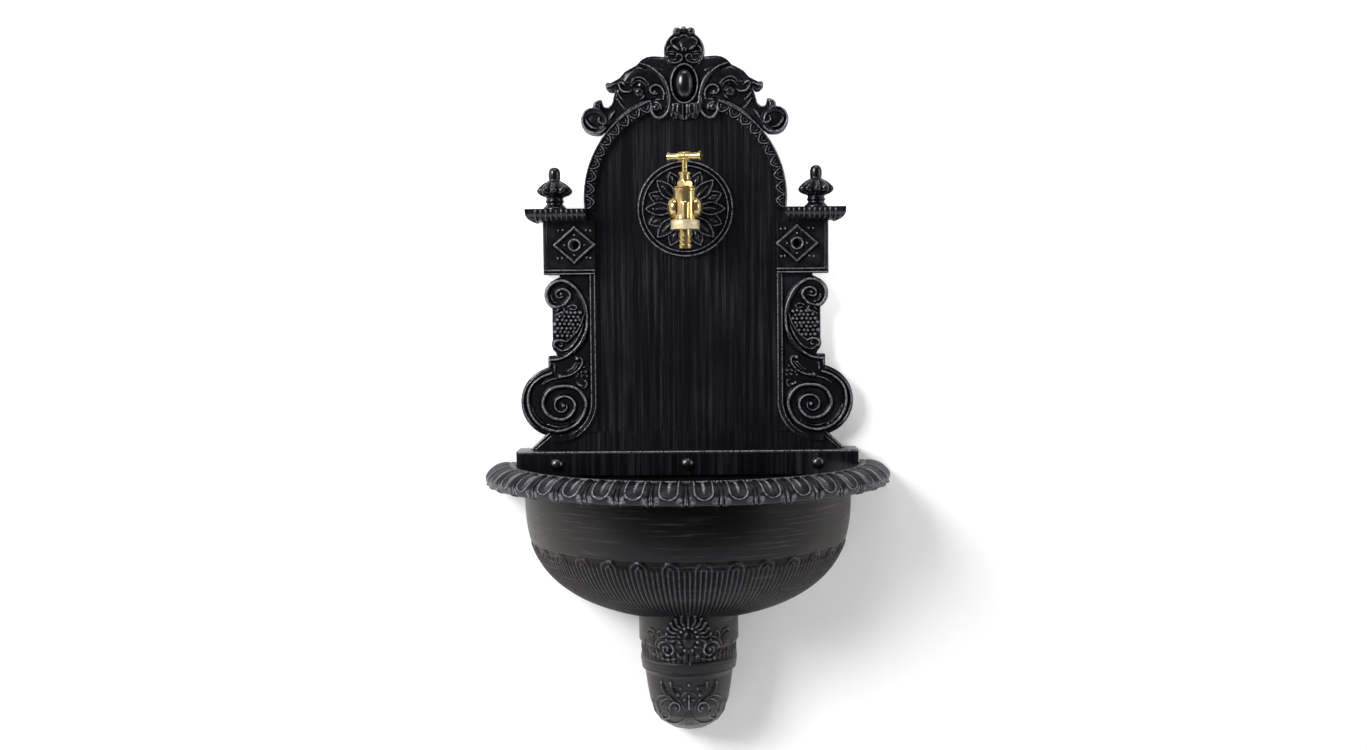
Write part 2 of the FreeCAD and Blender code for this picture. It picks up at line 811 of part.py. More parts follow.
CREST_OUTLINE = (
    (8.3, 0.92), (12.6, 0.97), (16.0, 1.0), (20.0, 0.87), (25.5, 0.83), (28.7, 0.76),
    (32.3, 0.77), (35.2, 0.83), (35.2, 0.68), (33.6, 0.57), (36.2, 0.42), (38.6, 0.35),
    (40.8, 0.38), (41.2, 0.60), (43.6, 0.62), (45.2, 0.60), (49.5, 0.69), (52.5, 0.67),
    (55.0, 0.52), (56.3, 0.29), (54.6, 0.12), (51.5, 0.0),
)


def above_arch(name, sense=1):
    """A height given from the top of the arch."""
    return size("arch_centre_height") + size("arch_radius") + sense * size(name)


def crest_point(angle, rise, side):
    reach = size("arch_radius") + size("crest_fit") + rise * size("crest_rise")
    turn = math.radians(angle)
    return Vector(side * reach * math.sin(turn), 0, size("arch_centre_height") + reach * math.cos(turn))


def crest_wire():
    """The crest's outline: one curve down each side, and the arch's own arc below."""
    right = [crest_point(angle, rise, 1) for angle, rise in CREST_OUTLINE]
    left = [crest_point(angle, rise, -1) for angle, rise in CREST_OUTLINE]
    top = Vector(0, 0, above_arch("dome_rise"))
    middle = crest_point(0, 0, 1)
    edges = [line_edge(left[0], top), line_edge(top, right[0]), spline_edge(right),
             arc_edge(right[-1], middle, left[-1]), spline_edge(left[::-1])]
    return Part.Wire(edges)


def carried(wire_or_shape, out_low, out_high):
    """A flat outline at the wall, carried out between two distances."""
    face = Part.Face(wire_or_shape)
    solid = face.extrude(Vector(0, out_low - out_high, 0))
    solid.translate(Vector(0, -out_low, 0))
    return solid


def disc(across, up, radius, out_low, out_high):
    return Part.makeCylinder(radius, out_high - out_low, Vector(across, -out_low, up), FRONT)


def upright(across, out, low, high, radius):
    return Part.makeCylinder(radius, high - low, Vector(across, -out, low))


def crest():
    """Crest over the arch: leaf scrolls, dome, knobs, apron and oval, on one flat casting."""
    back = size("crest_back_out")
    boss = size("crest_boss_out")
    band_out = size("panel_face_out") + size("arch_band_stands")
    dome_height = above_arch("dome_rise")
    oval_height = above_arch("oval_rise")
    knob_back = back + size("crest_knob_recess")
    solid = carried(crest_wire(), back, size("crest_face_out"))
    solid = solid.fuse(disc(0, dome_height, size("dome_radius"), back, boss))
    for side in (-1, 1):
        solid = solid.fuse(disc(side * size("knob_across"), dome_height + size("knob_rise"),
                                size("knob_radius"), knob_back, boss))
    solid = solid.fuse(disc(0, dome_height + size("top_knob_rise"), size("top_knob_radius"), knob_back, boss))
    half = size("apron_half_width")
    low = above_arch("apron_drop", -1)
    inside = disc(0, size("arch_centre_height"),
                  size("arch_radius") - size("arch_band_width") - size("crest_fit"), back, boss)
    apron = Part.makeBox(2 * half, boss - band_out, oval_height - low, Vector(-half, -boss, low))
    heel = Part.makeBox(2 * half, boss - size("panel_face_out"), oval_height - low, Vector(-half, -boss, low))
    solid = solid.fuse([apron, heel.common(inside)])
    oval = Part.Ellipse(Vector(0, 0, oval_height), size("oval_half_height"), size("oval_half_width"))
    oval.Axis = FRONT
    oval.AngleXU = math.radians(90)
    solid = solid.fuse(carried(Part.Wire(oval.toShape()), band_out, boss + size("oval_stands")))
    depth = size("panel_face_out") + size("crest_screw_depth")
    for side in (-1, 1):
        solid = solid.cut(disc(side * size("crest_screw_across"), above_arch("crest_screw_drop", -1),
                               size("crest_screw_radius") + size("thread_play"), 0, depth))
    return free_solid("crest", one_solid(solid))


def group(label, items):
    """Separate solids that share one node."""
    item = document.addObject("Part::Compound", label + "_group")
    item.Links = items
    return node(item, label)


def crest_screws():
    items = []
    plate_back = "panel_face_out - casting_wall"
    for side, across in (("left", "-crest_screw_across"), ("right", "crest_screw_across")):
        head = rod_out("crest_screw_head_" + side, across, CREST_SCREW_HEIGHT,
                       plate_back + " - crest_screw_head", plate_back, "crest_screw_head_radius")
        shank = rod_out("crest_screw_shank_" + side, across, CREST_SCREW_HEIGHT, plate_back,
                        "panel_face_out + crest_screw_depth - cut_over", "crest_screw_radius")
        items.append(fused("crest_screw_" + side, [head, shank]))
    return group("crest_screws", items)


# Finials

FINIAL_LOBES = 10

# Heights as shares of the finial's own height
FINIAL_LEVELS = {
    "knob_top": 0.965, "shoulder": 0.86, "waist": 0.72, "skirt_top": 0.60, "skirt": 0.45, "skirt_low": 0.33,
    "tuck": 0.29, "ring_high": 0.20, "ring": 0.16, "ring_low": 0.12, "flare": 0.055, "foot": 0.02,
}

# Radii between those of the sheet, as shares of knob, skirt or base
FINIAL_SHARES = {"knob_top": 0.72, "waist": 0.93, "skirt_top": 0.60, "skirt_low": 0.80, "flare": 0.80}


def finial(label, side):
    """Knob, lobed skirt, neck ring and flared base, turned on one axis."""
    tall = size("finial_tall")
    knob = size("finial_knob_radius")
    skirt = size("finial_skirt_radius")
    neck = size("finial_neck_radius")
    base = size("finial_base_radius")

    def at(radius, level):
        return Vector(radius * FINIAL_SHARES.get(level, 1.0), 0, FINIAL_LEVELS[level] * tall)

    top = Vector(0, 0, tall)
    shoulder = at(knob, "shoulder")
    waist = at(knob, "waist")
    edge = at(skirt, "skirt")
    tuck = at(neck, "tuck")
    ring_high = at(neck, "ring_high")
    ring_low = at(neck, "ring_low")
    foot = at(base, "foot")
    ground = Vector(base, 0, 0)
    section = [
        arc_edge(top, at(knob, "knob_top"), shoulder),
        line_edge(shoulder, waist),
        arc_edge(waist, at(skirt, "skirt_top"), edge),
        arc_edge(edge, at(skirt, "skirt_low"), tuck),
        line_edge(tuck, ring_high),
        arc_edge(ring_high, at(neck + size("finial_ring_stands"), "ring"), ring_low),
        arc_edge(ring_low, at(base, "flare"), foot),
        line_edge(foot, ground),
        line_edge(ground, Vector()),
        line_edge(Vector(), top),
    ]
    solid = Part.Face(Part.Wire(section)).revolve(Vector(), UP, 360)
    over = size("cut_over")
    start = Vector(skirt + size("finial_groove_out"), 0, FINIAL_LEVELS["ring_high"] * tall)
    end = Vector(knob + size("finial_groove_radius"), 0, FINIAL_LEVELS["waist"] * tall)
    grooves = []
    for lobe in range(FINIAL_LOBES):
        groove = Part.makeCylinder(size("finial_groove_radius"), (end - start).Length, start, end - start)
        groove.rotate(Vector(), UP, 360.0 * lobe / FINIAL_LOBES)
        grooves.append(groove)
    solid = solid.cut(grooves)
    hole = size("finial_stud_length") - size("finial_stud_in_shelf") + over
    solid = solid.cut(Part.makeCylinder(size("finial_stud_radius") + size("thread_play"), hole))
    return free_solid(label, one_solid(solid), "%d * finial_across" % side, "finial_out", "shelf_high")


def finial_studs():
    items = []
    for side, across in (("left", "-finial_across"), ("right", "finial_across")):
        items.append(rod_up("finial_stud_" + side, across, "finial_out",
                            "shelf_high - finial_stud_in_shelf",
                            "shelf_high - finial_stud_in_shelf + finial_stud_length", "finial_stud_radius"))
    return group("finial_studs", items)


# Rosette

PETALS = 8


def rosette():
    """A disc with a raised rim and pointed petals, bored for the tap."""
    body = document.addObject("PartDesign::Body", "rosette_body")
    bore = "tap_shank_radius + tap_hole_play"
    front = "rosette_plate + rosette_rim_stands"
    points = [
        (bore, "0"), ("rosette_radius - edge_break", "0"), ("rosette_radius", "edge_break"),
        ("rosette_radius", front + " - edge_break"), ("rosette_radius - edge_break", front),
        ("rosette_radius - rosette_rim_width", front),
        ("rosette_radius - rosette_rim_width - edge_break", "rosette_plate"), (bore, "rosette_plate"),
    ]
    sketch = outline(body, "XZ_Plane", points, "rosette_section")
    turn = body.newObject("PartDesign::Revolution", "rosette_turn")
    turn.Profile = sketch
    turn.ReferenceAxis = (sketch, ["V_Axis"])
    turn.Angle = 360
    middle = "(petal_inner + petal_outer) / 2"
    waist = middle + " - petal_waist_in"
    shoulder = middle + " + petal_shoulder_out"
    petal = outline(body, "XY_Plane", [("petal_inner", "0"), (waist, "-petal_waist_half_width"),
                                       (shoulder, "-petal_half_width"), ("petal_outer", "0"),
                                       (shoulder, "petal_half_width"), (waist, "petal_waist_half_width")],
                    "petal_outline")
    pad = body.newObject("PartDesign::Pad", "petal")
    pad.Profile = petal
    bind(pad, Length="rosette_plate + petal_stands")
    pattern = body.newObject("PartDesign::PolarPattern", "petals")
    pattern.Originals = [pad]
    pattern.Axis = (petal, ["N_Axis"])
    pattern.Angle = 360
    pattern.Occurrences = PETALS
    body.Tip = pattern
    place(body, "0", "panel_face_out", "rosette_height", TO_FRONT)
    return node(body, "rosette")


# Basin, corbel and their fastenings

def gadroon_grooves():
    """Round grooves between the gadroons, each down the rim's slope from lip to nose."""
    over = size("cut_over")
    drop = total(RIM_HIGH) - total(RIM_LOW)
    start = Vector(size("rim_inner_radius") + size("rim_lip") + over, 0, total(RIM_HIGH) + over)
    end = Vector(total(RIM_RADIUS) + over, 0, total(RIM_HIGH) - size("gadroon_fall") * drop)
    count = int(round(90.0 / size("gadroon_angle")))
    grooves = []
    slope = end - start
    for step in range(-count, count + 1):
        groove = Part.makeCylinder(size("gadroon_groove_radius"), slope.Length + over, start, slope)
        groove.rotate(Vector(), UP, step * size("gadroon_angle") - 90.0)
        grooves.append(groove)
    return grooves


def basin_back():
    """The basin's upright back: a plate inside the bowl and its narrower part behind the strip."""
    front = size("strip_face_out") - size("strip_plate")
    rim_low = total(RIM_LOW)
    low = total(BOWL_BOTTOM) - size("cut_over")
    reach = total(RIM_RADIUS)
    lower = Part.makeBox(2 * reach, size("back_wall"), rim_low - low, Vector(-reach, -front, low))
    lower = lower.common(bowl_solid(-0.5 * size("bowl_wall"), rim_low))
    half = size("strip_half_width") - size("bowl_fit")
    top = size("strip_high") - size("strip_plate") - size("ledge_fit")
    upper = Part.makeBox(2 * half, size("back_wall"), top - rim_low, Vector(-half, -front, rim_low))
    throat = Part.makeCylinder(size("rim_inner_radius") + size("cut_over"), top - low, Vector(0, 0, low))
    return [lower, upper.common(throat)]


def basin():
    """Half-round bowl with a gadrooned rim, a back wall and a boss for the drain."""
    solid = half_turn(basin_outline()).cut(gadroon_grooves())
    solid = solid.fuse(basin_back())
    out = size("drain_out")
    seat = total(DRAIN_SEAT)
    boss_low = total(WEB_HIGH)
    over = size("cut_over")
    boss = upright(0, out, boss_low, seat, size("drain_boss_radius"))
    pocket = upright(0, out, seat, total(RIM_LOW), size("drain_pocket_radius"))
    hole = upright(0, out, boss_low - over, seat + over, size("drain_shank_radius") + size("drain_hole_play"))
    solid = solid.fuse(boss).cut([pocket, hole])
    wall_front = size("strip_face_out") - size("strip_plate")
    for across in (-size("bolt_across"), 0.0, size("bolt_across")):
        solid = solid.cut(disc(across, total(BOLT_HEIGHT), size("bolt_radius") + size("bolt_hole_play"),
                               wall_front - size("back_wall") - over, wall_front + over))
    return free_solid("basin", one_solid(solid))


# A bolt's domed head, as shares of its radius and of its height
BOLT_DOME = ((1.0, 0.3), (0.8, 0.75), (0.45, 1.0))


def basin_fastenings():
    dome_outline = [("0", "0"), ("bolt_head_radius", "0")]
    for wide, high in BOLT_DOME:
        dome_outline.append(("%s * bolt_head_radius" % wide, "%s * bolt_head" % high))
    dome_outline.append(("0", "bolt_head"))
    hole = "bolt_radius + bolt_hole_play"
    ring = [(hole, "0"), ("bolt_washer_radius", "0"),
            ("bolt_washer_radius", "bolt_washer"), (hole, "bolt_washer")]
    bolts = []
    washers = []
    nuts = []
    plate_back = "strip_face_out - strip_plate - back_wall"
    for name, across in BOLTS:
        dome = turned("bolt_head_" + name, dome_outline, across, "strip_face_out", BOLT_HEIGHT, TO_FRONT)
        shank = rod_out("bolt_shank_" + name, across, BOLT_HEIGHT,
                        plate_back + " - bolt_washer - bolt_nut - bolt_tail", "strip_face_out", "bolt_radius")
        bolts.append(fused("bolt_" + name, [dome, shank]))
        washers.append(turned("bolt_washer_" + name, ring, across, plate_back + " - bolt_washer",
                              BOLT_HEIGHT, TO_FRONT))
        blank = document.addObject("Part::Prism", "bolt_nut_blank_" + name)
        blank.Polygon = 6
        bind(blank, Circumradius="bolt_nut_width / sqrt(3)", Height="bolt_nut")
        place(blank, across, plate_back + " - bolt_washer - bolt_nut", BOLT_HEIGHT, TO_FRONT)
        bore = rod_out("bolt_nut_bore_" + name, across, BOLT_HEIGHT, "0", "strip_face_out",
                       "bolt_radius + thread_play")
        nuts.append(cut("bolt_nut_" + name, blank, [bore]))
    group("basin_bolts", bolts)
    group("basin_washers", washers)
    group("basin_nuts", nuts)


# Corbel below its band: share of the drop, of the radius and of the depth to the centre
CORBEL_TAIL = (
    (0.0, 0.88, 0.97), (0.25, 0.84, 0.94), (0.46, 0.79, 0.88), (0.63, 0.70, 0.78),
    (0.79, 0.56, 0.62), (0.91, 0.38, 0.42), (1.0, 0.12, 0.16),
)


def corbel_section(height, radius, centre, back):
    """A closed outline: straight sides from the wall and a half round front."""
    left_back = Vector(-radius, back, height)
    left = Vector(-radius, -centre, height)
    front = Vector(0, -centre - radius, height)
    right = Vector(radius, -centre, height)
    right_back = Vector(radius, back, height)
    return Part.Wire([line_edge(left_back, left), arc_edge(left, front, right),
                      line_edge(right, right_back), line_edge(right_back, left_back)])


def corbel_drum(low, high, radius, centre, back):
    face = Part.Face(corbel_section(low, radius, centre, back))
    return face.extrude(Vector(0, 0, high - low))


def corbel_tail(shrink, back):
    """The tapering part below the band, or with a shrink the hollow inside it."""
    radius = size("corbel_radius")
    centre = size("corbel_centre_out")
    top = total(BAND_LOW)
    wires = []
    for down, wide, deep in CORBEL_TAIL:
        if wide * radius > 2 * shrink:
            wires.append(corbel_section(top - down * size("corbel_tail_drop"), wide * radius - shrink,
                                        deep * centre, back))
    return Part.makeLoft(wires, True, False)


def corbel():
    """Half-round corbel with a band at its middle, hollow and open towards the wall."""
    radius = size("corbel_radius")
    neck = size("corbel_neck_radius")
    band = size("corbel_band_radius")
    centre = size("corbel_centre_out")
    wall = size("corbel_wall")
    over = size("cut_over")
    band_low = total(BAND_LOW)
    band_high = total(BAND_HIGH)
    collar_low = total(COLLAR_LOW)
    web_high = total(WEB_HIGH)
    web_low = total(WEB_LOW)
    top = total(BOWL_BOTTOM) + radius
    solid = corbel_drum(collar_low, top, radius, centre, 0.0).fuse([
        corbel_drum(band_high, collar_low, neck, centre, 0.0),
        corbel_drum(band_low, band_high, band, centre, 0.0),
        corbel_tail(0.0, 0.0),
    ])
    hollow = corbel_drum(collar_low, top + over, radius - wall, centre, over).fuse([
        corbel_drum(band_low, collar_low, neck - wall, centre, over),
        corbel_tail(wall, over),
    ])
    web = corbel_drum(web_low, web_high, radius - 0.5 * wall, centre, 0.0)
    hole = upright(0, size("drain_out"), web_low - over, web_high + over,
                   size("drain_shank_radius") + size("drain_hole_play"))
    solid = solid.cut(hollow).fuse(web).cut(hole)
    solid = solid.cut(bowl_solid(size("corbel_fit"), total(RIM_LOW)))
    below_the_bowl = sorted(solid.Solids, key=lambda piece: piece.Volume)[-1]
    return free_solid("corbel", below_the_bowl.removeSplitter())


STRAINER_HOLES = 6


def drain_strainer():
    """Flanged drain with a pierced top, a threaded shank and a plain tail for the waste pipe."""
    under = DRAIN_SEAT + " + drain_gasket"
    top = under + " + drain_flange"
    body = turned("drain_strainer_body", [
        ("0", under), ("drain_bore_radius", under), ("drain_bore_radius", DRAIN_LOW),
        ("drain_tail_radius", DRAIN_LOW), ("drain_tail_radius", DRAIN_THREAD_LOW),
        ("drain_shank_radius", DRAIN_THREAD_LOW), ("drain_shank_radius", under),
        ("drain_flange_radius", under), ("drain_flange_radius - edge_break", top), ("0", top)],
        "0", "drain_out")
    document.recompute()
    sketch = body.newObject("Sketcher::SketchObject", "strainer_hole_outline")
    sketch.AttachmentSupport = (origin_plane(body, "XY_Plane"), "")
    sketch.MapMode = "FlatFace"
    circle = sketch.addGeometry(Part.Circle(Vector(START_MIDDLE, 0, 0), UP, START_REACH), False)
    number = sketch.addConstraint(Sketcher.Constraint("Radius", circle, START_REACH))
    sketch.setExpression("Constraints[%d]" % number, linked("strainer_hole_radius"))
    number = sketch.addConstraint(Sketcher.Constraint("DistanceX", -1, 1, circle, 3, START_MIDDLE))
    sketch.setExpression("Constraints[%d]" % number, linked("strainer_hole_circle"))
    sketch.addConstraint(Sketcher.Constraint("PointOnObject", circle, 3, -1))
    pocket = body.newObject("PartDesign::Pocket", "strainer_hole")
    pocket.Profile = sketch
    pocket.Type = "ThroughAll"
    pocket.Midplane = True
    pattern = body.newObject("PartDesign::PolarPattern", "strainer_holes")
    pattern.Originals = [pocket]
    pattern.Axis = (sketch, ["N_Axis"])
    pattern.Angle = 360
    pattern.Occurrences = STRAINER_HOLES
    body.Tip = pattern
    return node(body, "drain_strainer")


def drain_parts():
    drain_strainer()
    play = "drain_shank_radius + drain_hole_play"
    node(ring_up("drain_gasket_ring", "0", "drain_out", DRAIN_SEAT, DRAIN_SEAT + " + drain_gasket",
                 play, "drain_flange_radius"), "drain_gasket")
    nut_high = WEB_LOW + " - drain_washer"
    node(ring_up("drain_washer_ring", "0", "drain_out", nut_high, WEB_LOW, play, "drain_washer_radius"),
         "drain_washer")
    blank = hexagon_up("drain_nut_blank", "0", "drain_out", DRAIN_NUT_LOW, nut_high, "drain_nut_width")
    bore = rod_up("drain_nut_bore", "0", "drain_out", DRAIN_NUT_LOW + " - cut_over", nut_high + " + cut_over",
                  "drain_shank_radius + thread_play")
    node(cut("drain_nut_cut", blank, [bore]), "drain_locknut")


# Tap

TAIL_LOW = "union_low + union_floor + tail_play"
TAIL_TOP = TAIL_LOW + " + tail_flange"
OUTLET_LOW = TAIL_TOP + " + tail_washer + tail_play"
FLANGE_BACK = "panel_face_out + rosette_plate + inlet_washer"
PANEL_BACK = "panel_face_out - casting_wall"
BACKNUT_BACK = PANEL_BACK + " - backnut"


def tap_body():
    """Valve body with its inlet shank, seat and outlet thread."""
    solid_parts = [
        rod_up("tap_barrel", "0", "tap_out", "tap_body_low", "tap_body_high", "tap_body_radius"),
        rod_up("tap_outlet", "0", "tap_out", OUTLET_LOW, "tap_body_low + cut_over", "outlet_thread_radius"),
        rod_out("tap_inlet", "0", "tap_height", FLANGE_BACK, "tap_out", "tap_inlet_radius"),
        rod_out("tap_flange", "0", "tap_height", FLANGE_BACK, FLANGE_BACK + " + tap_flange",
                "tap_flange_radius"),
        rod_out("tap_shank", "0", "tap_height", BACKNUT_BACK + " - tap_thread_past_nut",
                FLANGE_BACK + " + cut_over", "tap_shank_radius"),
        rod_out("tap_tail", "0", "tap_height", "-tap_shank_behind", BACKNUT_BACK, "tap_tail_radius"),
        rod_out("tap_front_boss", "0", "tap_cheek_height", "tap_out",
                "tap_out + tap_body_radius + tap_front_boss_stands", "tap_front_boss_radius"),
    ]
    cheeks = turned("tap_cheeks", [
        ("0", "-tap_cheek_half_width"), ("tap_cheek_radius - tap_cheek_bevel", "-tap_cheek_half_width"),
        ("tap_cheek_radius", "-(tap_cheek_half_width - tap_cheek_bevel)"),
        ("tap_cheek_radius", "tap_cheek_half_width - tap_cheek_bevel"),
        ("tap_cheek_radius - tap_cheek_bevel", "tap_cheek_half_width"), ("0", "tap_cheek_half_width")],
        "0", "tap_out", "tap_cheek_height", TO_RIGHT)
    blank = fused("tap_blank", solid_parts + [cheeks])
    bores = [
        rod_up("tap_chamber", "0", "tap_out", "seat_height", "tap_body_high + cut_over",
               "chamber_radius"),
        rod_up("tap_seat_bore", "0", "tap_out", "seat_height - seat_thickness - cut_over",
               "seat_height + cut_over", "seat_bore_radius"),
        rod_up("tap_outlet_bore", "0", "tap_out", OUTLET_LOW + " - cut_over",
               "seat_height - seat_thickness", "outlet_bore_radius"),
        rod_out("tap_inlet_bore", "0", "tap_height", "-tap_shank_behind - cut_over", "tap_out",
                "tap_inlet_bore_radius"),
    ]
    return node(cut("tap_bored", blank, bores), "tap_body")


def inlet_parts():
    play = "tap_shank_radius + tap_hole_play"
    washer = turned("inlet_washer_ring", [(play, "0"), ("inlet_washer_radius", "0"),
                                          ("inlet_washer_radius", "inlet_washer"), (play, "inlet_washer")],
                    "0", "panel_face_out + rosette_plate", "tap_height", TO_FRONT)
    node(washer, "tap_inlet_washer")
    blank = document.addObject("Part::Prism", "backnut_blank")
    blank.Polygon = 6
    bind(blank, Circumradius="backnut_width / sqrt(3)", Height="backnut")
    place(blank, "0", BACKNUT_BACK, "tap_height", TO_FRONT)
    bore = rod_out("backnut_bore", "0", "tap_height", "0", "panel_face_out", "tap_shank_radius + thread_play")
    node(cut("backnut_cut", blank, [bore]), "tap_backnut")


BONNET_LOW = "tap_body_high + bonnet_gasket"
HEX_LOW = BONNET_LOW + " + bonnet_flange"
HEX_HIGH = HEX_LOW + " + bonnet_hex"


def bonnet():
    """Bonnet: threaded spigot, flange, hexagon and neck, bored for the spindle."""
    bore = "screw_part_radius + stem_play"
    stem = "stem_radius + stem_play"
    neck_top = HEX_HIGH + " + bonnet_neck"
    spigot = "chamber_radius - thread_play"
    spigot_low = BONNET_LOW + " - bonnet_spigot"
    body = turned("bonnet_body", [
        (bore, spigot_low), (spigot, spigot_low), (spigot, BONNET_LOW), ("bonnet_flange_radius", BONNET_LOW),
        ("bonnet_flange_radius", HEX_LOW), ("bonnet_core_radius", HEX_LOW), ("bonnet_core_radius", HEX_HIGH),
        ("bonnet_neck_radius", HEX_HIGH), ("bonnet_neck_radius", neck_top),
        (stem, neck_top), (stem, "bonnet_bore_top"), (bore, "bonnet_bore_top")], "0", "tap_out")
    document.recompute()
    pad = hexagon_cut(body, "bonnet_hexagon", HEX_LOW, "bonnet_hex_width", HEX_HIGH,
                      "(bonnet_core_radius + screw_part_radius) / 2")
    body.Tip = pad
    return node(body, "tap_bonnet")


def gland_parts():
    node(ring_up("bonnet_gasket_ring", "0", "tap_out", "tap_body_high", BONNET_LOW, "chamber_radius",
                 "bonnet_flange_radius"), "bonnet_gasket")
    inner = "bonnet_neck_radius + thread_play"
    stem = "stem_radius + stem_play"
    low = HEX_HIGH + " + gland_gap"
    node(turned("gland_nut_body", [
        (inner, low), ("gland_radius", low), ("gland_radius", "gland_high - gland_collar"),
        ("gland_collar_radius", "gland_high - gland_collar"),
        ("gland_collar_radius", "gland_high - fine_break"), ("gland_collar_radius - fine_break", "gland_high"),
        (stem, "gland_high"), (stem, "gland_high - gland_roof"),
        (inner, "gland_high - gland_roof")], "0", "tap_out"), "gland_nut")
    packing_low = "gland_high - gland_roof - packing"
    node(ring_up("gland_packing_ring", "0", "tap_out", packing_low, "gland_high - gland_roof", stem, inner),
         "gland_packing")


def spindle_and_handle():
    plate_top = "seat_height + valve_gap + valve_washer + valve_plate"
    low = plate_top + " + valve_gap"
    hole = "valve_pin_radius + stem_play"
    hole_top = low + " + valve_pin + valve_pin_room"
    top = "handle_height + handle_seat"
    node(turned("spindle_body", [
        (hole, low), ("screw_part_radius", low),
        ("screw_part_radius", "screw_part_high - screw_part_chamfer"),
        ("screw_part_radius - screw_part_chamfer", "screw_part_high"), ("stem_radius", "screw_part_high"),
        ("stem_radius", top), ("0", top), ("0", hole_top), (hole, hole_top)], "0", "tap_out"), "tap_spindle")
    half = [("handle_sleeve_radius", "handle_sleeve_half_length"),
            ("handle_bar_radius", "handle_sleeve_half_length"),
            ("handle_bar_radius", "handle_half_length - handle_end - edge_break"),
            ("handle_end_radius", "handle_half_length - handle_end"),
            ("handle_end_radius", "handle_half_length - fine_break"),
            ("handle_end_radius - fine_break", "handle_half_length"), ("0", "handle_half_length")]
    bar = [(radius, "-(%s)" % along) for radius, along in half[::-1]] + half
    yaw = Rotation(UP, -size("handle_yaw"))
    turned_bar = turned("handle_bar", bar, "0", "tap_out", "handle_height", yaw.multiply(TO_RIGHT))
    socket = rod_up("handle_socket", "0", "tap_out", "handle_height - handle_sleeve_radius - cut_over", top,
                    "stem_radius")
    node(cut("handle_cut", turned_bar, [socket]), "tap_handle")


def valve():
    low = "seat_height + valve_gap"
    plate_low = low + " + valve_washer"
    plate_top = plate_low + " + valve_plate"
    stub_low = low + " + valve_stub_recess"
    node(ring_up("valve_washer_ring", "0", "tap_out", low, plate_low, "valve_stub_radius", "valve_radius"),
         "valve_washer")
    node(turned("valve_jumper_body", [
        ("0", stub_low), ("valve_stub_radius", stub_low), ("valve_stub_radius", plate_low),
        ("valve_radius", plate_low), ("valve_radius", plate_top), ("valve_pin_radius", plate_top),
        ("valve_pin_radius", plate_top + " + valve_pin"), ("0", plate_top + " + valve_pin")], "0", "tap_out"),
        "valve_jumper")


def union_and_tail():
    bore = "outlet_thread_radius + tail_play"
    floor = "union_low + union_floor"
    node(turned("union_nut_body", [
        ("tail_barb_radius + tail_play", "union_low"), ("union_radius - union_chamfer", "union_low"),
        ("union_radius", "union_low + union_chamfer"), ("union_radius", "union_high - union_chamfer"),
        ("union_radius - union_chamfer", "union_high"), (bore, "union_high"), (bore, floor),
        ("tail_barb_radius + tail_play", floor)], "0", "tap_out"), "union_nut")


BARBS = 3

# A barb's crest, from and to these shares of its length
BARB_CREST = (0.45, 0.75)


def hose_tail():
    """Hose tail with a flange held by the union nut and a row of barbs."""
    barb = "(union_low - tail_low) / %d" % BARBS
    points = [("tail_bore_radius", "tail_low"), ("tail_radius", "tail_low")]
    for step in range(BARBS):
        base = "tail_low + %d * %s" % (step, barb)
        for share in BARB_CREST:
            points.append(("tail_barb_radius", base + " + %s * %s" % (share, barb)))
        if step < BARBS - 1:
            points.append(("tail_radius", base + " + %s" % barb))
    points += [("tail_barb_radius", TAIL_LOW), ("tail_flange_radius", TAIL_LOW),
               ("tail_flange_radius", TAIL_TOP), ("tail_bore_radius", TAIL_TOP)]
    node(turned("hose_tail_body", points, "0", "tap_out"), "hose_tail")
    node(ring_up("tail_washer_ring", "0", "tap_out", TAIL_TOP, TAIL_TOP + " + tail_washer",
                 "tail_bore_radius", "tail_flange_radius"), "hose_tail_washer")


back_panel()
crest()
crest_screws()
finial("finial_left", -1)
finial("finial_right", 1)
finial_studs()
rosette()
basin()
basin_fastenings()
corbel()
drain_parts()
tap_body()
inlet_parts()
bonnet()
gland_parts()
spindle_and_handle()
valve()
union_and_tail()
hose_tail()

document.recompute()

for item in document.Objects:
    if "Invalid" in item.State or "Error" in item.State:
        raise ValueError("%s failed to build" % item.Label)
for item in NODES:
    if item.Shape.isNull() or not item.Shape.isValid():
        raise ValueError("%s has no valid shape" % item.Label)

os.makedirs("parts", exist_ok=True)
for item in NODES:
    item.Shape.exportStep("parts/%s.step" % item.Label)
    box = item.Shape.BoundBox
    print("%-18s solids %d  volume %9.0f  x %7.1f %7.1f  y %7.1f %7.1f  z %7.1f %7.1f" % (
        item.Label, len(item.Shape.Solids), item.Shape.Volume, box.XMin, box.XMax, box.YMin, box.YMax,
        box.ZMin, box.ZMax))
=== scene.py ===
"""Looks of the wall fountain: cast ornament dry-brushed with silver that also serves as painted highlight, reeded
basin and polished tap.

Lengths are millimetres until a mesh is made, which is in metres. X runs across, Z up, and
"out" is measured from the wall towards the viewer. Heights of a relief are outs as well.
"""

import math
import re

import bmesh
import bpy
import numpy as np
from mathutils import Matrix, Vector


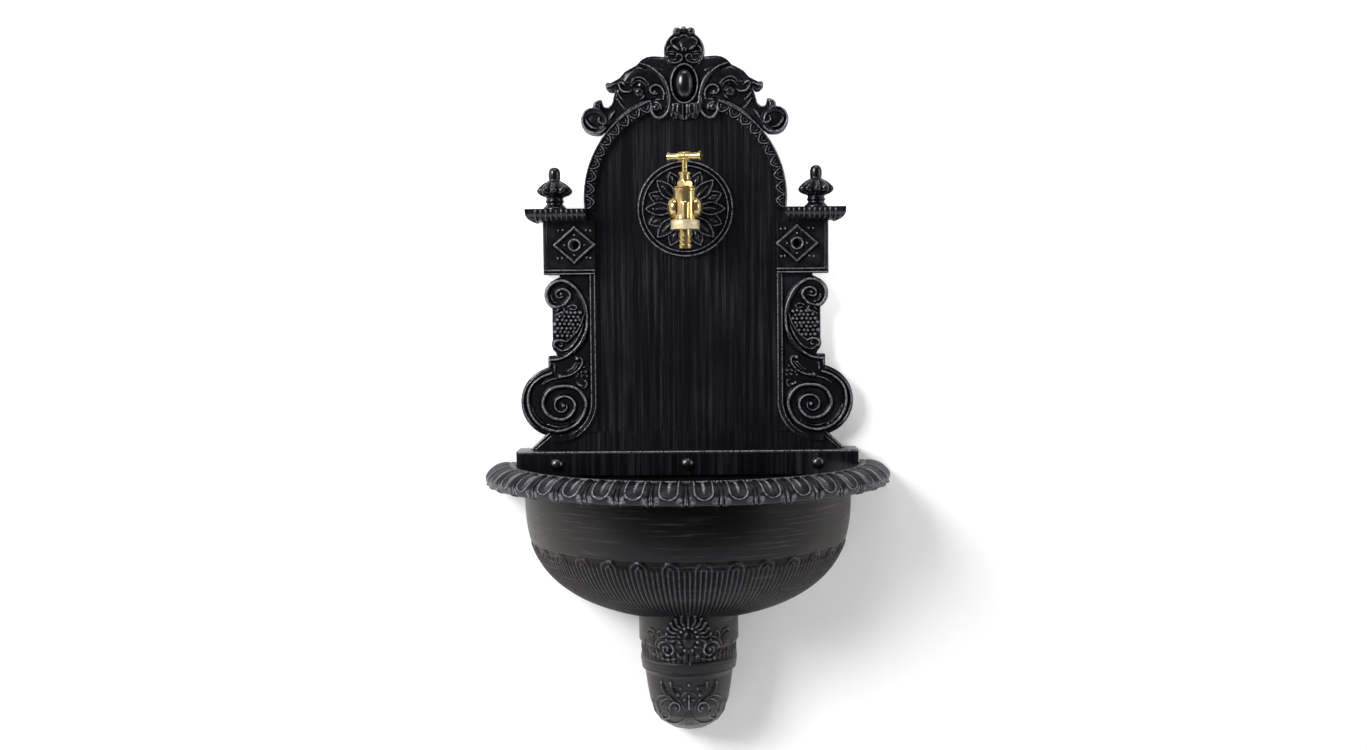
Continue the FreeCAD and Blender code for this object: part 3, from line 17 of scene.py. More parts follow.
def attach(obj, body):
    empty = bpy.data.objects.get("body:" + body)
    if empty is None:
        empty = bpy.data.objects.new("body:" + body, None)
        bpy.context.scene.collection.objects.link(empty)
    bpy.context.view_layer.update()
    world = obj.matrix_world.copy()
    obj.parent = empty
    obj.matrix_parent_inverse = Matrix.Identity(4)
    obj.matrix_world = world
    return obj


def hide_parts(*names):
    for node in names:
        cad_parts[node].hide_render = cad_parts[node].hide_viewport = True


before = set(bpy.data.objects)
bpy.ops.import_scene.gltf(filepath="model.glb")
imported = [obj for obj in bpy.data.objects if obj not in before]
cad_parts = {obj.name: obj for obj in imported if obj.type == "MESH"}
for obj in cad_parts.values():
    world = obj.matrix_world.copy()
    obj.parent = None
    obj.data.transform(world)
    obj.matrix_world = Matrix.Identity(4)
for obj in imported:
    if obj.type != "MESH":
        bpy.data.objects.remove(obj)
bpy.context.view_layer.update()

MM = 0.001
TURN = 2.0 * math.pi
QUARTER = 0.5 * math.pi
FAR = 1.0e6
RNG = np.random.default_rng(7)
STEP = 0.55

# Camera of the photograph, in its 1367 by 750 pixels
PHOTO_WIDE, PHOTO_HIGH = 1367, 750
FOCUS = 1550.0
HORIZON = 298.0
ROLL = 0.00873
EYE_ACROSS, EYE_AWAY, EYE_UP = 13.7, 1660.0, -56.6
EYE_COLUMN = 700.2


def pairs(text):
    """The numbers of a text, two by two."""
    numbers = [float(word) for word in text.split()]
    return list(zip(numbers[::2], numbers[1::2]))


def seen(points, out):
    """Photo pixels of a piece of the left half, as distances from the middle and heights."""
    spots = []
    for x, y in points:
        level_x = x - (y - PHOTO_HIGH / 2) * ROLL
        level_y = y + (x - PHOTO_WIDE / 2) * ROLL
        scale = (EYE_AWAY - out) / FOCUS
        spots.append((-(EYE_ACROSS + (level_x - EYE_COLUMN) * scale), EYE_UP + (HORIZON - level_y) * scale))
    return spots


# Curves and fields of height

def curve(points, step=0.8):
    """A smooth path through the points, as an array of close places."""
    knots = np.asarray(points, float)
    if len(knots) == 2:
        return np.linspace(*knots, max(2, int(math.dist(*knots) / step) + 1))
    padded = np.vstack([2 * knots[0] - knots[1], knots, 2 * knots[-1] - knots[-2]])
    places = []
    for a, b, c, d in zip(padded, padded[1:], padded[2:], padded[3:]):
        count = max(2, int(np.hypot(*(c - b)) / step) + 1)
        t = np.linspace(0.0, 1.0, count, endpoint=False)[:, None]
        places.append(0.5 * (2 * b + (c - a) * t + (2 * a - 5 * b + 4 * c - d) * t ** 2
                             + (3 * b - a - 3 * c + d) * t ** 3))
    return np.vstack(places + [padded[-2][None]])


def around(centre, radius, angle):
    """Places at angles in radians, at one radius or at one for each angle."""
    return np.stack([centre[0] + radius * np.cos(angle), centre[1] + radius * np.sin(angle)], 1)


def arc(centre, radius, start, end, count=24):
    """Places on an arc, with angles in degrees."""
    return around(centre, radius, np.radians(np.linspace(start, end, count)))


def spiral(centre, start, turns, begin, inner, count):
    """Places along a spiral that winds in from a radius; positive turns go anticlockwise."""
    t = np.linspace(0.0, 1.0, count)
    return around(centre, start + (inner - start) * t, math.radians(begin) + TURN * turns * t)


def ring(centre, wide, high, count=72, tilt=0.0):
    angle = np.linspace(0.0, TURN, count)
    x, z = wide * np.cos(angle), high * np.sin(angle)
    lean = math.radians(tilt)
    return np.stack([centre[0] + x * math.cos(lean) - z * math.sin(lean),
                     centre[1] + x * math.sin(lean) + z * math.cos(lean)], 1)


def along_leg(x, z, start, leg):
    """The share of a leg at which it comes nearest to each place, and the steps from there."""
    t = np.clip(((x - start[0]) * leg[0] + (z - start[1]) * leg[1]) / max(leg @ leg, 1e-12), 0.0, 1.0)
    return t, x - start[0] - t * leg[0], z - start[1] - t * leg[1]


class Relief:
    """Heights over a flat patch, raised by strokes, leaves and beads, with an outline of its own."""

    def __init__(self, across, up, step, ground=0.0):
        self.step = step
        self.xs = np.arange(across[0], across[1] + step, step)
        self.zs = np.arange(up[0], up[1] + step, step)
        self.x, self.z = np.meshgrid(self.xs, self.zs)
        self.h = np.full(self.x.shape, float(ground))
        self.edge = np.full(self.x.shape, FAR)

    def window(self, path, reach):
        low = path.min(0) - reach
        high = path.max(0) + reach
        i0, i1 = np.searchsorted(self.xs, [low[0], high[0]])
        j0, j1 = np.searchsorted(self.zs, [low[1], high[1]])
        return slice(max(j0 - 1, 0), j1 + 1), slice(max(i0 - 1, 0), i1 + 1)

    def nearest(self, path, reach):
        """Distance to a path and share of the way along it, near the path."""
        spot = self.window(path, reach)
        x, z = self.x[spot], self.z[spot]
        away = np.full(x.shape, FAR)
        along = np.zeros(x.shape)
        legs = np.hypot(*(path[1:] - path[:-1]).T)
        mark = np.concatenate([[0.0], np.cumsum(legs)])
        for k in np.nonzero(legs > 1e-9)[0]:
            t, dx, dz = along_leg(x, z, path[k], path[k + 1] - path[k])
            d = np.hypot(dx, dz)
            along = np.where(d < away, (mark[k] + t * legs[k]) / mark[-1], along)
            away = np.minimum(d, away)
        return spot, away, along

    def lift(self, spot, share, foot, rise, overhang, cover):
        """Raises the ground where share is over nothing; cover adds the form to the outline."""
        ground = self.h[spot]
        raised = (ground if foot is None else foot) + rise
        self.h[spot] = np.where(share > 0, np.maximum(ground, raised), ground)
        if cover:
            self.edge[spot] = np.minimum(self.edge[spot], overhang)

    def stroke(self, path, half, high, foot=None, taper=(1.0, 1.0), power=0.5, cover=False):
        """A raised line. taper is the share of its half width that is left at both ends."""
        spot, away, along = self.nearest(np.asarray(path, float), half + 2 * self.step)
        ease = np.minimum(along * 4.0, 1.0) * (1.0 - taper[0]) + taper[0]
        ease = np.minimum(ease, np.minimum((1.0 - along) * 4.0, 1.0) * (1.0 - taper[1]) + taper[1])
        wide = half * ease
        share = np.clip(1.0 - (away / wide) ** 2, 0.0, 1.0) ** power
        self.lift(spot, share, foot, high * (0.35 + 0.65 * ease) * share, away - wide, cover)

    def groove(self, path, half, deep):
        spot, away, _ = self.nearest(np.asarray(path, float), half)
        self.h[spot] -= deep * np.clip(1.0 - (away / half) ** 2, 0.0, 1.0)

    def bead(self, centre, radius, high, foot=None, cover=False, tall=None):
        """A dome, round or with a half height of its own."""
        tall = tall or radius
        spot = self.window(np.array([centre, centre], float), max(radius, tall) + 2 * self.step)
        away = np.hypot(self.x[spot] - centre[0], (self.z[spot] - centre[1]) * (radius / tall))
        share = np.sqrt(np.clip(1.0 - (away / radius) ** 2, 0.0, 1.0))
        self.lift(spot, share, foot, high * share, away - radius, cover)

    def leaf(self, path, half, high, foot, vein=0.0, lobes=0, cover=False, tip=0.0, butt=0.25):
        """A leaf along a path, widest a third of the way, with a sunk vein and scalloped sides."""
        spot, away, along = self.nearest(np.asarray(path, float), half + 2 * self.step)
        swell = np.where(along < 0.35, butt + (1 - butt) * np.sin(along / 0.35 * math.pi / 2),
                         tip + (1 - tip) * np.clip(np.cos((along - 0.35) / 0.65 * math.pi / 2), 0, 1) ** 0.8)
        wide = np.maximum(half * swell, 0.05) * (1.0 - 0.22 * np.abs(np.sin(along * math.pi * lobes)) ** 3)
        share = np.clip(1.0 - (away / wide) ** 2, 0.0, 1.0) ** 0.6
        crease = vein * np.exp(-(away / (0.22 * half)) ** 2)
        self.lift(spot, share, foot, high * share * (0.6 + 0.4 * swell) - crease, away - wide, cover)

    def distance(self, outline, spot):
        """Signed distance to a closed outline, negative inside."""
        x, z = self.x[spot], self.z[spot]
        away = np.full(x.shape, FAR)
        inside = np.zeros(x.shape, bool)
        for a, b in zip(outline, np.roll(outline, -1, 0)):
            leg = b - a
            away = np.minimum(away, np.hypot(*along_leg(x, z, a, leg)[1:]))
            if a[1] != b[1]:
                crosses = (a[1] > z) != (b[1] > z)
                inside ^= crosses & (x < a[0] + leg[0] * (z - a[1]) / leg[1])
        return np.where(inside, -away, away)

    def cover(self, outline, level=None, slope=None):
        """Adds a closed outline to the patch, and lifts the ground inside it to a level."""
        outline = np.asarray(outline, float)
        spot = self.window(outline, 4.0)
        away = self.distance(outline, spot)
        self.edge[spot] = np.minimum(self.edge[spot], away)
        if level is not None:
            lifted = self.h[spot] + (level - self.h[spot]) * np.clip(-away / slope, 0.0, 1.0) ** 0.5
            self.h[spot] = np.where(away < 0, np.maximum(self.h[spot], lifted), self.h[spot])

    def dish(self, outline, deep, reach):
        """Sinks the ground inside a closed outline, deepest from reach on inwards."""
        outline = np.asarray(outline, float)
        spot = self.window(outline, 1.0)
        share = np.clip(-self.distance(outline, spot) / reach, 0.0, 1.0)
        self.h[spot] -= deep * np.sqrt(np.clip(1.0 - (1.0 - share) ** 2, 0.0, 1.0))

    def block(self, middle, half):
        """Makes the outline a rectangle with a middle and half sides."""
        self.edge = np.maximum(np.abs(self.x - middle[0]) - half[0], np.abs(self.z - middle[1]) - half[1])

    def hole(self, centre, radius):
        self.edge = np.maximum(self.edge, radius - np.hypot(self.x - centre[0], self.z - centre[1]))

    def rounded(self, radius):
        """Rounds the outer edge of the patch."""
        deep = np.clip(-self.edge, 0.0, radius)
        self.h = self.h - (radius - np.sqrt(radius ** 2 - (radius - deep) ** 2))


def carve(relief, table, place=seen):
    """Raises the lines, bars and balls of a table over a relief; lines are bent through their points.

    A row names its kind, the out at which the photo's points are read, half width, rise and foot,
    for lines and bars the taper at both ends, and then the points.
    """
    for row in re.findall("[a-z]+[^a-z]+", re.sub("#.*", "", table)):
        kind, *words = row.split()
        out, half, high, foot, *rest = [float(word) for word in words]
        if kind == "ball":
            relief.bead(place([rest], out)[0], half, high, foot)
            continue
        path = place(list(zip(rest[2::2], rest[3::2])), out)
        relief.stroke(curve(path) if kind == "line" else path, half, high, foot, rest[:2])


def blurred(field, reach):
    """The field averaged with its neighbours along both sides."""
    weights = np.hanning(2 * reach + 3)[1:-1]
    weights = weights / weights.sum()
    for axis in (0, 1):
        pad = [(0, 0), (0, 0)]
        pad[axis] = (reach, reach)
        windows = np.lib.stride_tricks.sliding_window_view(np.pad(field, pad, mode="edge"), len(weights), axis)
        field = sum(weight * windows[..., k] for k, weight in enumerate(weights))
    return field


def ridges(relief, reach):
    """How far each place stands over its surroundings, from 0 in a hollow to 1 on a ridge."""
    lift = relief.h - blurred(relief.h, max(1, int(round(reach / relief.step))))
    return np.clip(0.5 + lift / 1.6, 0.0, 1.0)


def doubled(half):
    """A relief of both sides from the half whose first column is the middle plane."""
    both = Relief((0.0, STEP), (0.0, STEP), half.step)
    both.xs = np.concatenate([-half.xs[:0:-1], half.xs])
    both.zs = half.zs
    both.x, both.z = np.meshgrid(both.xs, both.zs)
    both.h = np.concatenate([half.h[:, :0:-1], half.h], 1)
    both.edge = np.concatenate([half.edge[:, :0:-1], half.edge], 1)
    return both


# Meshes

def make(name, places, faces, ridge=None, sharp=35.0):
    """An object from places in millimetres and arrays of faces, with its ridge attribute."""
    mesh = bpy.data.meshes.new(name)
    sizes = np.concatenate([np.full(len(group), group.shape[1]) for group in faces]).astype(np.int32)
    loops = np.concatenate([group.ravel() for group in faces]).astype(np.int32)
    mesh.vertices.add(len(places))
    mesh.vertices.foreach_set("co", (np.asarray(places, float) * MM).astype(np.float32).ravel())
    mesh.loops.add(len(loops))
    mesh.loops.foreach_set("vertex_index", loops)
    mesh.polygons.add(len(sizes))
    mesh.polygons.foreach_set("loop_start", np.concatenate([[0], np.cumsum(sizes)[:-1]]).astype(np.int32))
    mesh.polygons.foreach_set("loop_total", sizes)
    mesh.update(calc_edges=True)
    mesh.validate()
    smoothed(mesh, sharp)
    if ridge is not None:
        layer = mesh.attributes.new("ridge", "FLOAT", "POINT")
        layer.data.foreach_set("value", np.asarray(ridge, np.float32).ravel())
    piece = bpy.data.objects.new(name, mesh)
    bpy.context.scene.collection.objects.link(piece)
    return piece


def smoothed(mesh, sharp):
    mesh.polygons.foreach_set("use_smooth", np.ones(len(mesh.polygons), bool))
    mesh.set_sharp_from_angle(angle=math.radians(sharp))


def closed(piece, sharp, first=0, singly=False, fill=True):
    """Fills the open loops of points from first on, at once or singly, and turns all faces outwards."""
    work = bmesh.new()
    work.from_mesh(piece.data)
    left = {e.index: e for e in work.edges if fill and e.is_boundary and min(v.index for v in e.verts) >= first}
    while left:
        loop = [left.pop(next(iter(left)))] if singly else list(left.values())
        if not singly:
            left = {}
        for edge in loop:
            for other in [e for vert in edge.verts for e in vert.link_edges if e.index in left]:
                loop.append(left.pop(other.index))
        bmesh.ops.triangle_fill(work, edges=loop, use_beauty=False)
    bmesh.ops.recalc_face_normals(work, faces=work.faces)
    work.to_mesh(piece.data)
    work.free()
    piece.data.set_sharp_from_angle(angle=math.radians(sharp))
    return piece


def patch(name, relief, back, place=None, mirror=False):
    """A closed piece from a relief: its front, its sides back to an out and a flat back.

    place turns across, height and out into a point; without it they are the frame's own.
    """
    edge, step = relief.edge, relief.step
    used = edge[:-1, :-1] + edge[1:, :-1] + edge[:-1, 1:] + edge[1:, 1:] < 0
    rows, columns = edge.shape
    number = np.arange(rows * columns).reshape(rows, columns)
    padded = np.pad(used, 1)
    corners = [padded[dj:dj + rows, di:di + columns] for dj in (0, 1) for di in (0, 1)]
    touched = np.any(corners, 0)
    rim = touched & ~np.all(corners, 0)
    slope_z, slope_x = np.gradient(edge, step)
    steep = np.maximum(np.hypot(slope_x, slope_z), 0.3)
    pull = np.where(rim, np.clip(edge, -step, step) / steep ** 2, 0.0)
    x = (relief.x - pull * slope_x).ravel()
    z = (relief.z - pull * slope_z).ravel()
    height = relief.h.ravel()
    faces = np.stack([number[:-1, :-1][used], number[:-1, 1:][used], number[1:, 1:][used],
                      number[1:, :-1][used]], 1)
    sides = []
    for dj, di, a, b in ((-1, 0, (0, 0), (0, 1)), (1, 0, (1, 1), (1, 0)), (0, 1, (0, 1), (1, 1)),
                         (0, -1, (1, 0), (0, 0))):
        j, i = np.nonzero(used & ~padded[1 + dj:rows + dj, 1 + di:columns + di])
        sides.append(np.stack([number[j + a[0], i + a[1]], number[j + b[0], i + b[1]]], 1))
    start, end = np.vstack(sides).T
    front, border = np.nonzero(touched.ravel())[0], np.nonzero(rim.ravel())[0]
    keep, behind = np.full((2, rows * columns), -1)
    keep[front] = np.arange(len(front))
    behind[border] = len(front) + np.arange(len(border))
    across = np.concatenate([x[front], x[border]])
    up = np.concatenate([z[front], z[border]])
    out = np.concatenate([height[front], np.full(len(border), float(back))])
    points = np.stack([across, -out, up], 1) if place is None else place(across, up, out)
    walls = np.stack([keep[end], keep[start], behind[start], behind[end]], 1)
    quads = keep[faces]
    if mirror:
        points[:, 0] = -points[:, 0]
        walls, quads = walls[:, ::-1], quads[:, ::-1]
    ridge = ridges(relief, 2.2).ravel()
    shade = np.concatenate([ridge[front], np.clip(ridge[border] - 0.1, 0, 1)])
    return closed(make(name, points, [quads, walls], shade), 40.0, len(front))


def tube(rows, columns, closed_up=True, closed_round=False):
    """Quads over a grid of numbered points, joined at both ends and round it if wanted."""
    number = np.arange(rows * columns).reshape(rows, columns)
    if closed_up:
        number = np.vstack([number, number[:1]])
    if closed_round:
        number = np.hstack([number, number[:, :1]])
    return np.stack([number[:-1, :-1], number[:-1, 1:], number[1:, 1:], number[1:, :-1]], -1).reshape(-1, 4)


def turned(name, section, around=48, centre=(0.0, 0.0, 0.0), axis="z", sharp=35.0, wobble=None):
    """A closed solid turned from radius and height pairs that start and end on its axis or close on
    themselves. wobble changes the radius with the angle and the height."""
    section = np.asarray(section, float)
    angle = np.linspace(0.0, TURN, around, endpoint=False)
    radius, height = [np.repeat(section[:, k:k + 1], around, 1) for k in (0, 1)]
    if wobble is not None:
        radius = wobble(radius, height, angle[None, :])
    points = np.stack([radius * np.cos(angle), radius * np.sin(angle), height], -1)
    if section[0, 0] < 1e-6:
        rows = len(section) - 2
        i = np.arange(around)
        after = (i + 1) % around
        last = (rows - 1) * around
        faces = [tube(rows, around, False, True), np.stack([np.full(around, rows * around), after, i], 1),
                 np.stack([np.full(around, rows * around + 1), last + i, last + after], 1)]
        points = np.vstack([points[1:-1].reshape(-1, 3), [[0, 0, section[0, 1]]], [[0, 0, section[-1, 1]]]])
    else:
        faces = [tube(len(section), around, True, True)]
        points = points.reshape(-1, 3)
    if axis == "y":
        points = points[:, [0, 2, 1]] * (1, -1, 1)
    if axis == "x":
        points = points[:, [2, 0, 1]]
    return closed(make(name, points + centre, faces, sharp=sharp), sharp, fill=False)


# Materials

DARK = (0.0016, 0.0016, 0.0020, 1.0)
STREAK = (0.034, 0.034, 0.0435, 1.0)
# silver of the dry brush on the ridges, partly the real finish and partly painted highlight
SILVER = (0.36, 0.36, 0.42, 1.0)


def shader(name):
    material = bpy.data.materials.new(name)
    material.use_nodes = True
    tree = material.node_tree
    return material, tree, tree.nodes["Principled BSDF"]


def feed(tree, item, inputs):
    """Links outputs to a node's inputs, or sets the inputs to constants."""
    for slot, value in inputs.items():
        if isinstance(value, bpy.types.NodeSocket):
            tree.links.new(value, item.inputs[slot])
        else:
            item.inputs[slot].default_value = value


def add(tree, kind, inputs=(), **settings):
    item = tree.nodes.new("ShaderNode" + kind)
    for key, value in settings.items():
        setattr(item, key, value)
    feed(tree, item, dict(inputs))
    return item


def noise(tree, stretch, detail=3.0, rough=0.55, place=None):
    """Noise over a place, or over the object's own coordinates, stretched along the axes."""
    if place is None:
        place = add(tree, "TexCoord").outputs["Object"]
    scale = stretch if isinstance(stretch, tuple) else (stretch,) * 3
    spot = add(tree, "Mapping", {"Vector": place, "Scale": scale}).outputs["Vector"]
    look = {"Vector": spot, "Scale": 1.0, "Detail": detail, "Roughness": rough}
    return add(tree, "TexNoise", look).outputs["Fac"]


def scaled(tree, value, start=(0.0, 1.0), end=(0.0, 1.0), kind="LINEAR"):
    """A value carried over from one range to another."""
    ends = {"From Min": start[0], "From Max": start[1], "To Min": end[0], "To Max": end[1]}
    return add(tree, "MapRange", {"Value": value, **ends}, interpolation_type=kind).outputs["Result"]


def ramp(tree, value, low, high):
    return scaled(tree, value, (low, high), kind="SMOOTHSTEP")


def reckoned(tree, operation, *values):
    return add(tree, "Math", enumerate(values), operation=operation).outputs[0]


def times(tree, a, b):
    return reckoned(tree, "MULTIPLY", a, b)


def mixed(tree, share, a, b):
    return add(tree, "Mix", {0: share, 6: a, 7: b}, data_type="RGBA").outputs[2]


def bump(tree, surface, height, strength, distance):
    item = add(tree, "Bump", {"Strength": strength, "Distance": distance, "Height": height})
    feed(tree, surface, {"Normal": item.outputs["Normal"]})


def silver_rub_and_painted_light(tree, surface, colour, silver, ridge, shine):
    """Silver over the ridges, partly the dry-brushed finish and partly painted highlight. The hollows shine less, as
    painted shade.
    """
    mark = add(tree, "Attribute", attribute_name="ridge").outputs["Fac"]
    # painted shade: where the ridge value is low, in the hollows, the paint shines less
    feed(tree, surface, {"Specular IOR Level": scaled(tree, mark, (0.30, 0.50), (0.12, shine))})
    # silver on the ridges: partly dry brush, partly painted highlight
    silver_and_highlight = times(tree, ramp(tree, mark, *ridge), ramp(tree, noise(tree, 420.0), 0.28, 0.62))
    return mixed(tree, times(tree, silver_and_highlight, silver), colour, SILVER)


def painted(name, stretch, streak, silver=0.55, ridge=(0.78, 1.0), shine=0.70, rough=0.23):
    """Black paint with grey streaks along one way and, unless silver is 0, silver over the ridges that is partly dry
    brush and partly painted highlight, with painted shade in the hollows.
    """
    material, tree, surface = shader(name)
    brush, cloud = noise(tree, stretch, 6.0, 0.7), noise(tree, 9.0)
    share = times(tree, ramp(tree, brush, 0.42, 0.74), ramp(tree, cloud, 0.20, 0.70))
    colour = mixed(tree, times(tree, share, streak), DARK, STREAK)
    feed(tree, surface, {"Specular IOR Level": 0.60, "Specular Tint": (0.90, 0.89, 1.0, 1.0), "Roughness": rough})
    if silver:
        colour = silver_rub_and_painted_light(tree, surface, colour, silver, ridge, shine)
    feed(tree, surface, {"Base Color": colour})
    bump(tree, surface, noise(tree, 700.0), 0.10, 0.0003)
    return material


def round_paint(name, stretch, shine):
    """Black paint brushed round a curved piece, lighter and warmer towards its sides as a painted sheen."""
    material, tree, surface = shader(name)
    lay = add(tree, "Attribute", attribute_name="lay").outputs["Vector"]
    parts = add(tree, "SeparateXYZ", {"Vector": lay})
    # painted sheen: the paint is lighter and warmer where the piece faces aside
    side = ramp(tree, parts.outputs["Z"], 0.25, 0.95)
    share = times(tree, ramp(tree, noise(tree, stretch, 5.0, 0.65, lay), 0.53, 0.66),
                  ramp(tree, noise(tree, (14.0, 20.0, 0.0), 3.0, 0.5, lay), 0.3, 0.7))
    base = mixed(tree, side, (0.0016, 0.0016, 0.0018, 1.0), (0.019, 0.0158, 0.012, 1.0))
    light = mixed(tree, side, (0.040, 0.039, 0.043, 1.0), (0.11, 0.092, 0.072, 1.0))
    colour = mixed(tree, times(tree, share, 0.9), base, light)
    colour = silver_rub_and_painted_light(tree, surface, colour, 0.75, (0.70, 1.0), shine)
    feed(tree, surface, {"Base Color": colour, "Roughness": 0.34, "Specular Tint": (0.94, 0.93, 1.0, 1.0)})
    bump(tree, surface, noise(tree, 700.0), 0.12, 0.0003)
    return material


def clouded(tree, cloud, colour, least):
    """A colour that is darkened in clouds to a least share."""
    darker = tuple(c * least for c in colour[:3]) + (1.0,)
    return mixed(tree, ramp(tree, cloud, 0.3, 0.7), darker, colour)


def metal(name, colour, rough, wear=0.25, strength=0.06, shine=1.0):
    material, tree, surface = shader(name)
    roughness = scaled(tree, noise(tree, 60.0, 4.0), end=(rough * 0.7, rough * 1.4))
    feed(tree, surface, {"Base Color": clouded(tree, noise(tree, 300.0, 4.0), colour, 1 - wear),
                         "Metallic": shine, "Roughness": roughness})
    bump(tree, surface, noise(tree, 500.0), strength, 0.0002)
    return material


def plain(name, colour, rough):
    material, tree, surface = shader(name)
    cloud = noise(tree, 600.0, 4.0)
    feed(tree, surface, {"Base Color": clouded(tree, cloud, colour, 0.6), "Roughness": rough})
    bump(tree, surface, cloud, 0.3, 0.0002)
    return material


CAST = painted("cast_ornament", 60.0, 0.5)
# painted highlight: silver over the whole ledge bead, its flat parts too
STRIP_EDGE_HIGHLIGHT = painted("strip_edge_highlight", 60.0, 0.5, 0.75, (0.30, 0.55))
CAST_RIM = painted("cast_rim", 60.0, 0.5, 0.80, (0.60, 1.0), 0.26, 0.34)
CAST_UPRIGHT = painted("cast_field", (260.0, 60.0, 5.0), 1.0, 0)
CAST_KNOB = painted("cast_knob", 30.0, 0.12, 0)
CAST_PLAIN = painted("cast_plain", (8.0, 60.0, 260.0), 0.8, 0)
CAST_BOWL = round_paint("cast_bowl", (13.0, 420.0, 0.0), 0.24)
CAST_CORBEL = round_paint("cast_corbel", (14.0, 320.0, 0.0), 0.34)
BRASS = metal("polished_brass", (0.595, 0.447, 0.194, 1.0), 0.20, 0.12, 0.02, 0.90)
BRASS_ROUGH = metal("knurled_brass", (0.90, 0.78, 0.52, 1.0), 0.42, strength=0.2)
BOLT = metal("blackened_bolt", (0.10, 0.10, 0.105, 1.0), 0.30)
STEEL = metal("zinc_plate", (0.56, 0.57, 0.58, 1.0), 0.35)
RUBBER = plain("black_rubber", (0.02, 0.02, 0.021, 1.0), 0.7)
FIBRE = plain("red_fibre", (0.30, 0.06, 0.03, 1.0), 0.75)


def wear(piece, material, body="fountain", slot="casting", replaces=()):
    piece.data.materials.clear()
    piece.data.materials.append(material)
    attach(piece, body)
    for node in replaces:
        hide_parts(node)
    return piece


def side_name(stem, side):
    return stem + ("right" if side > 0 else "left")


# Crest: a wing of scrolling leaf on each side of a shell and an oval stone

ARCH = (0.0, 50.0)


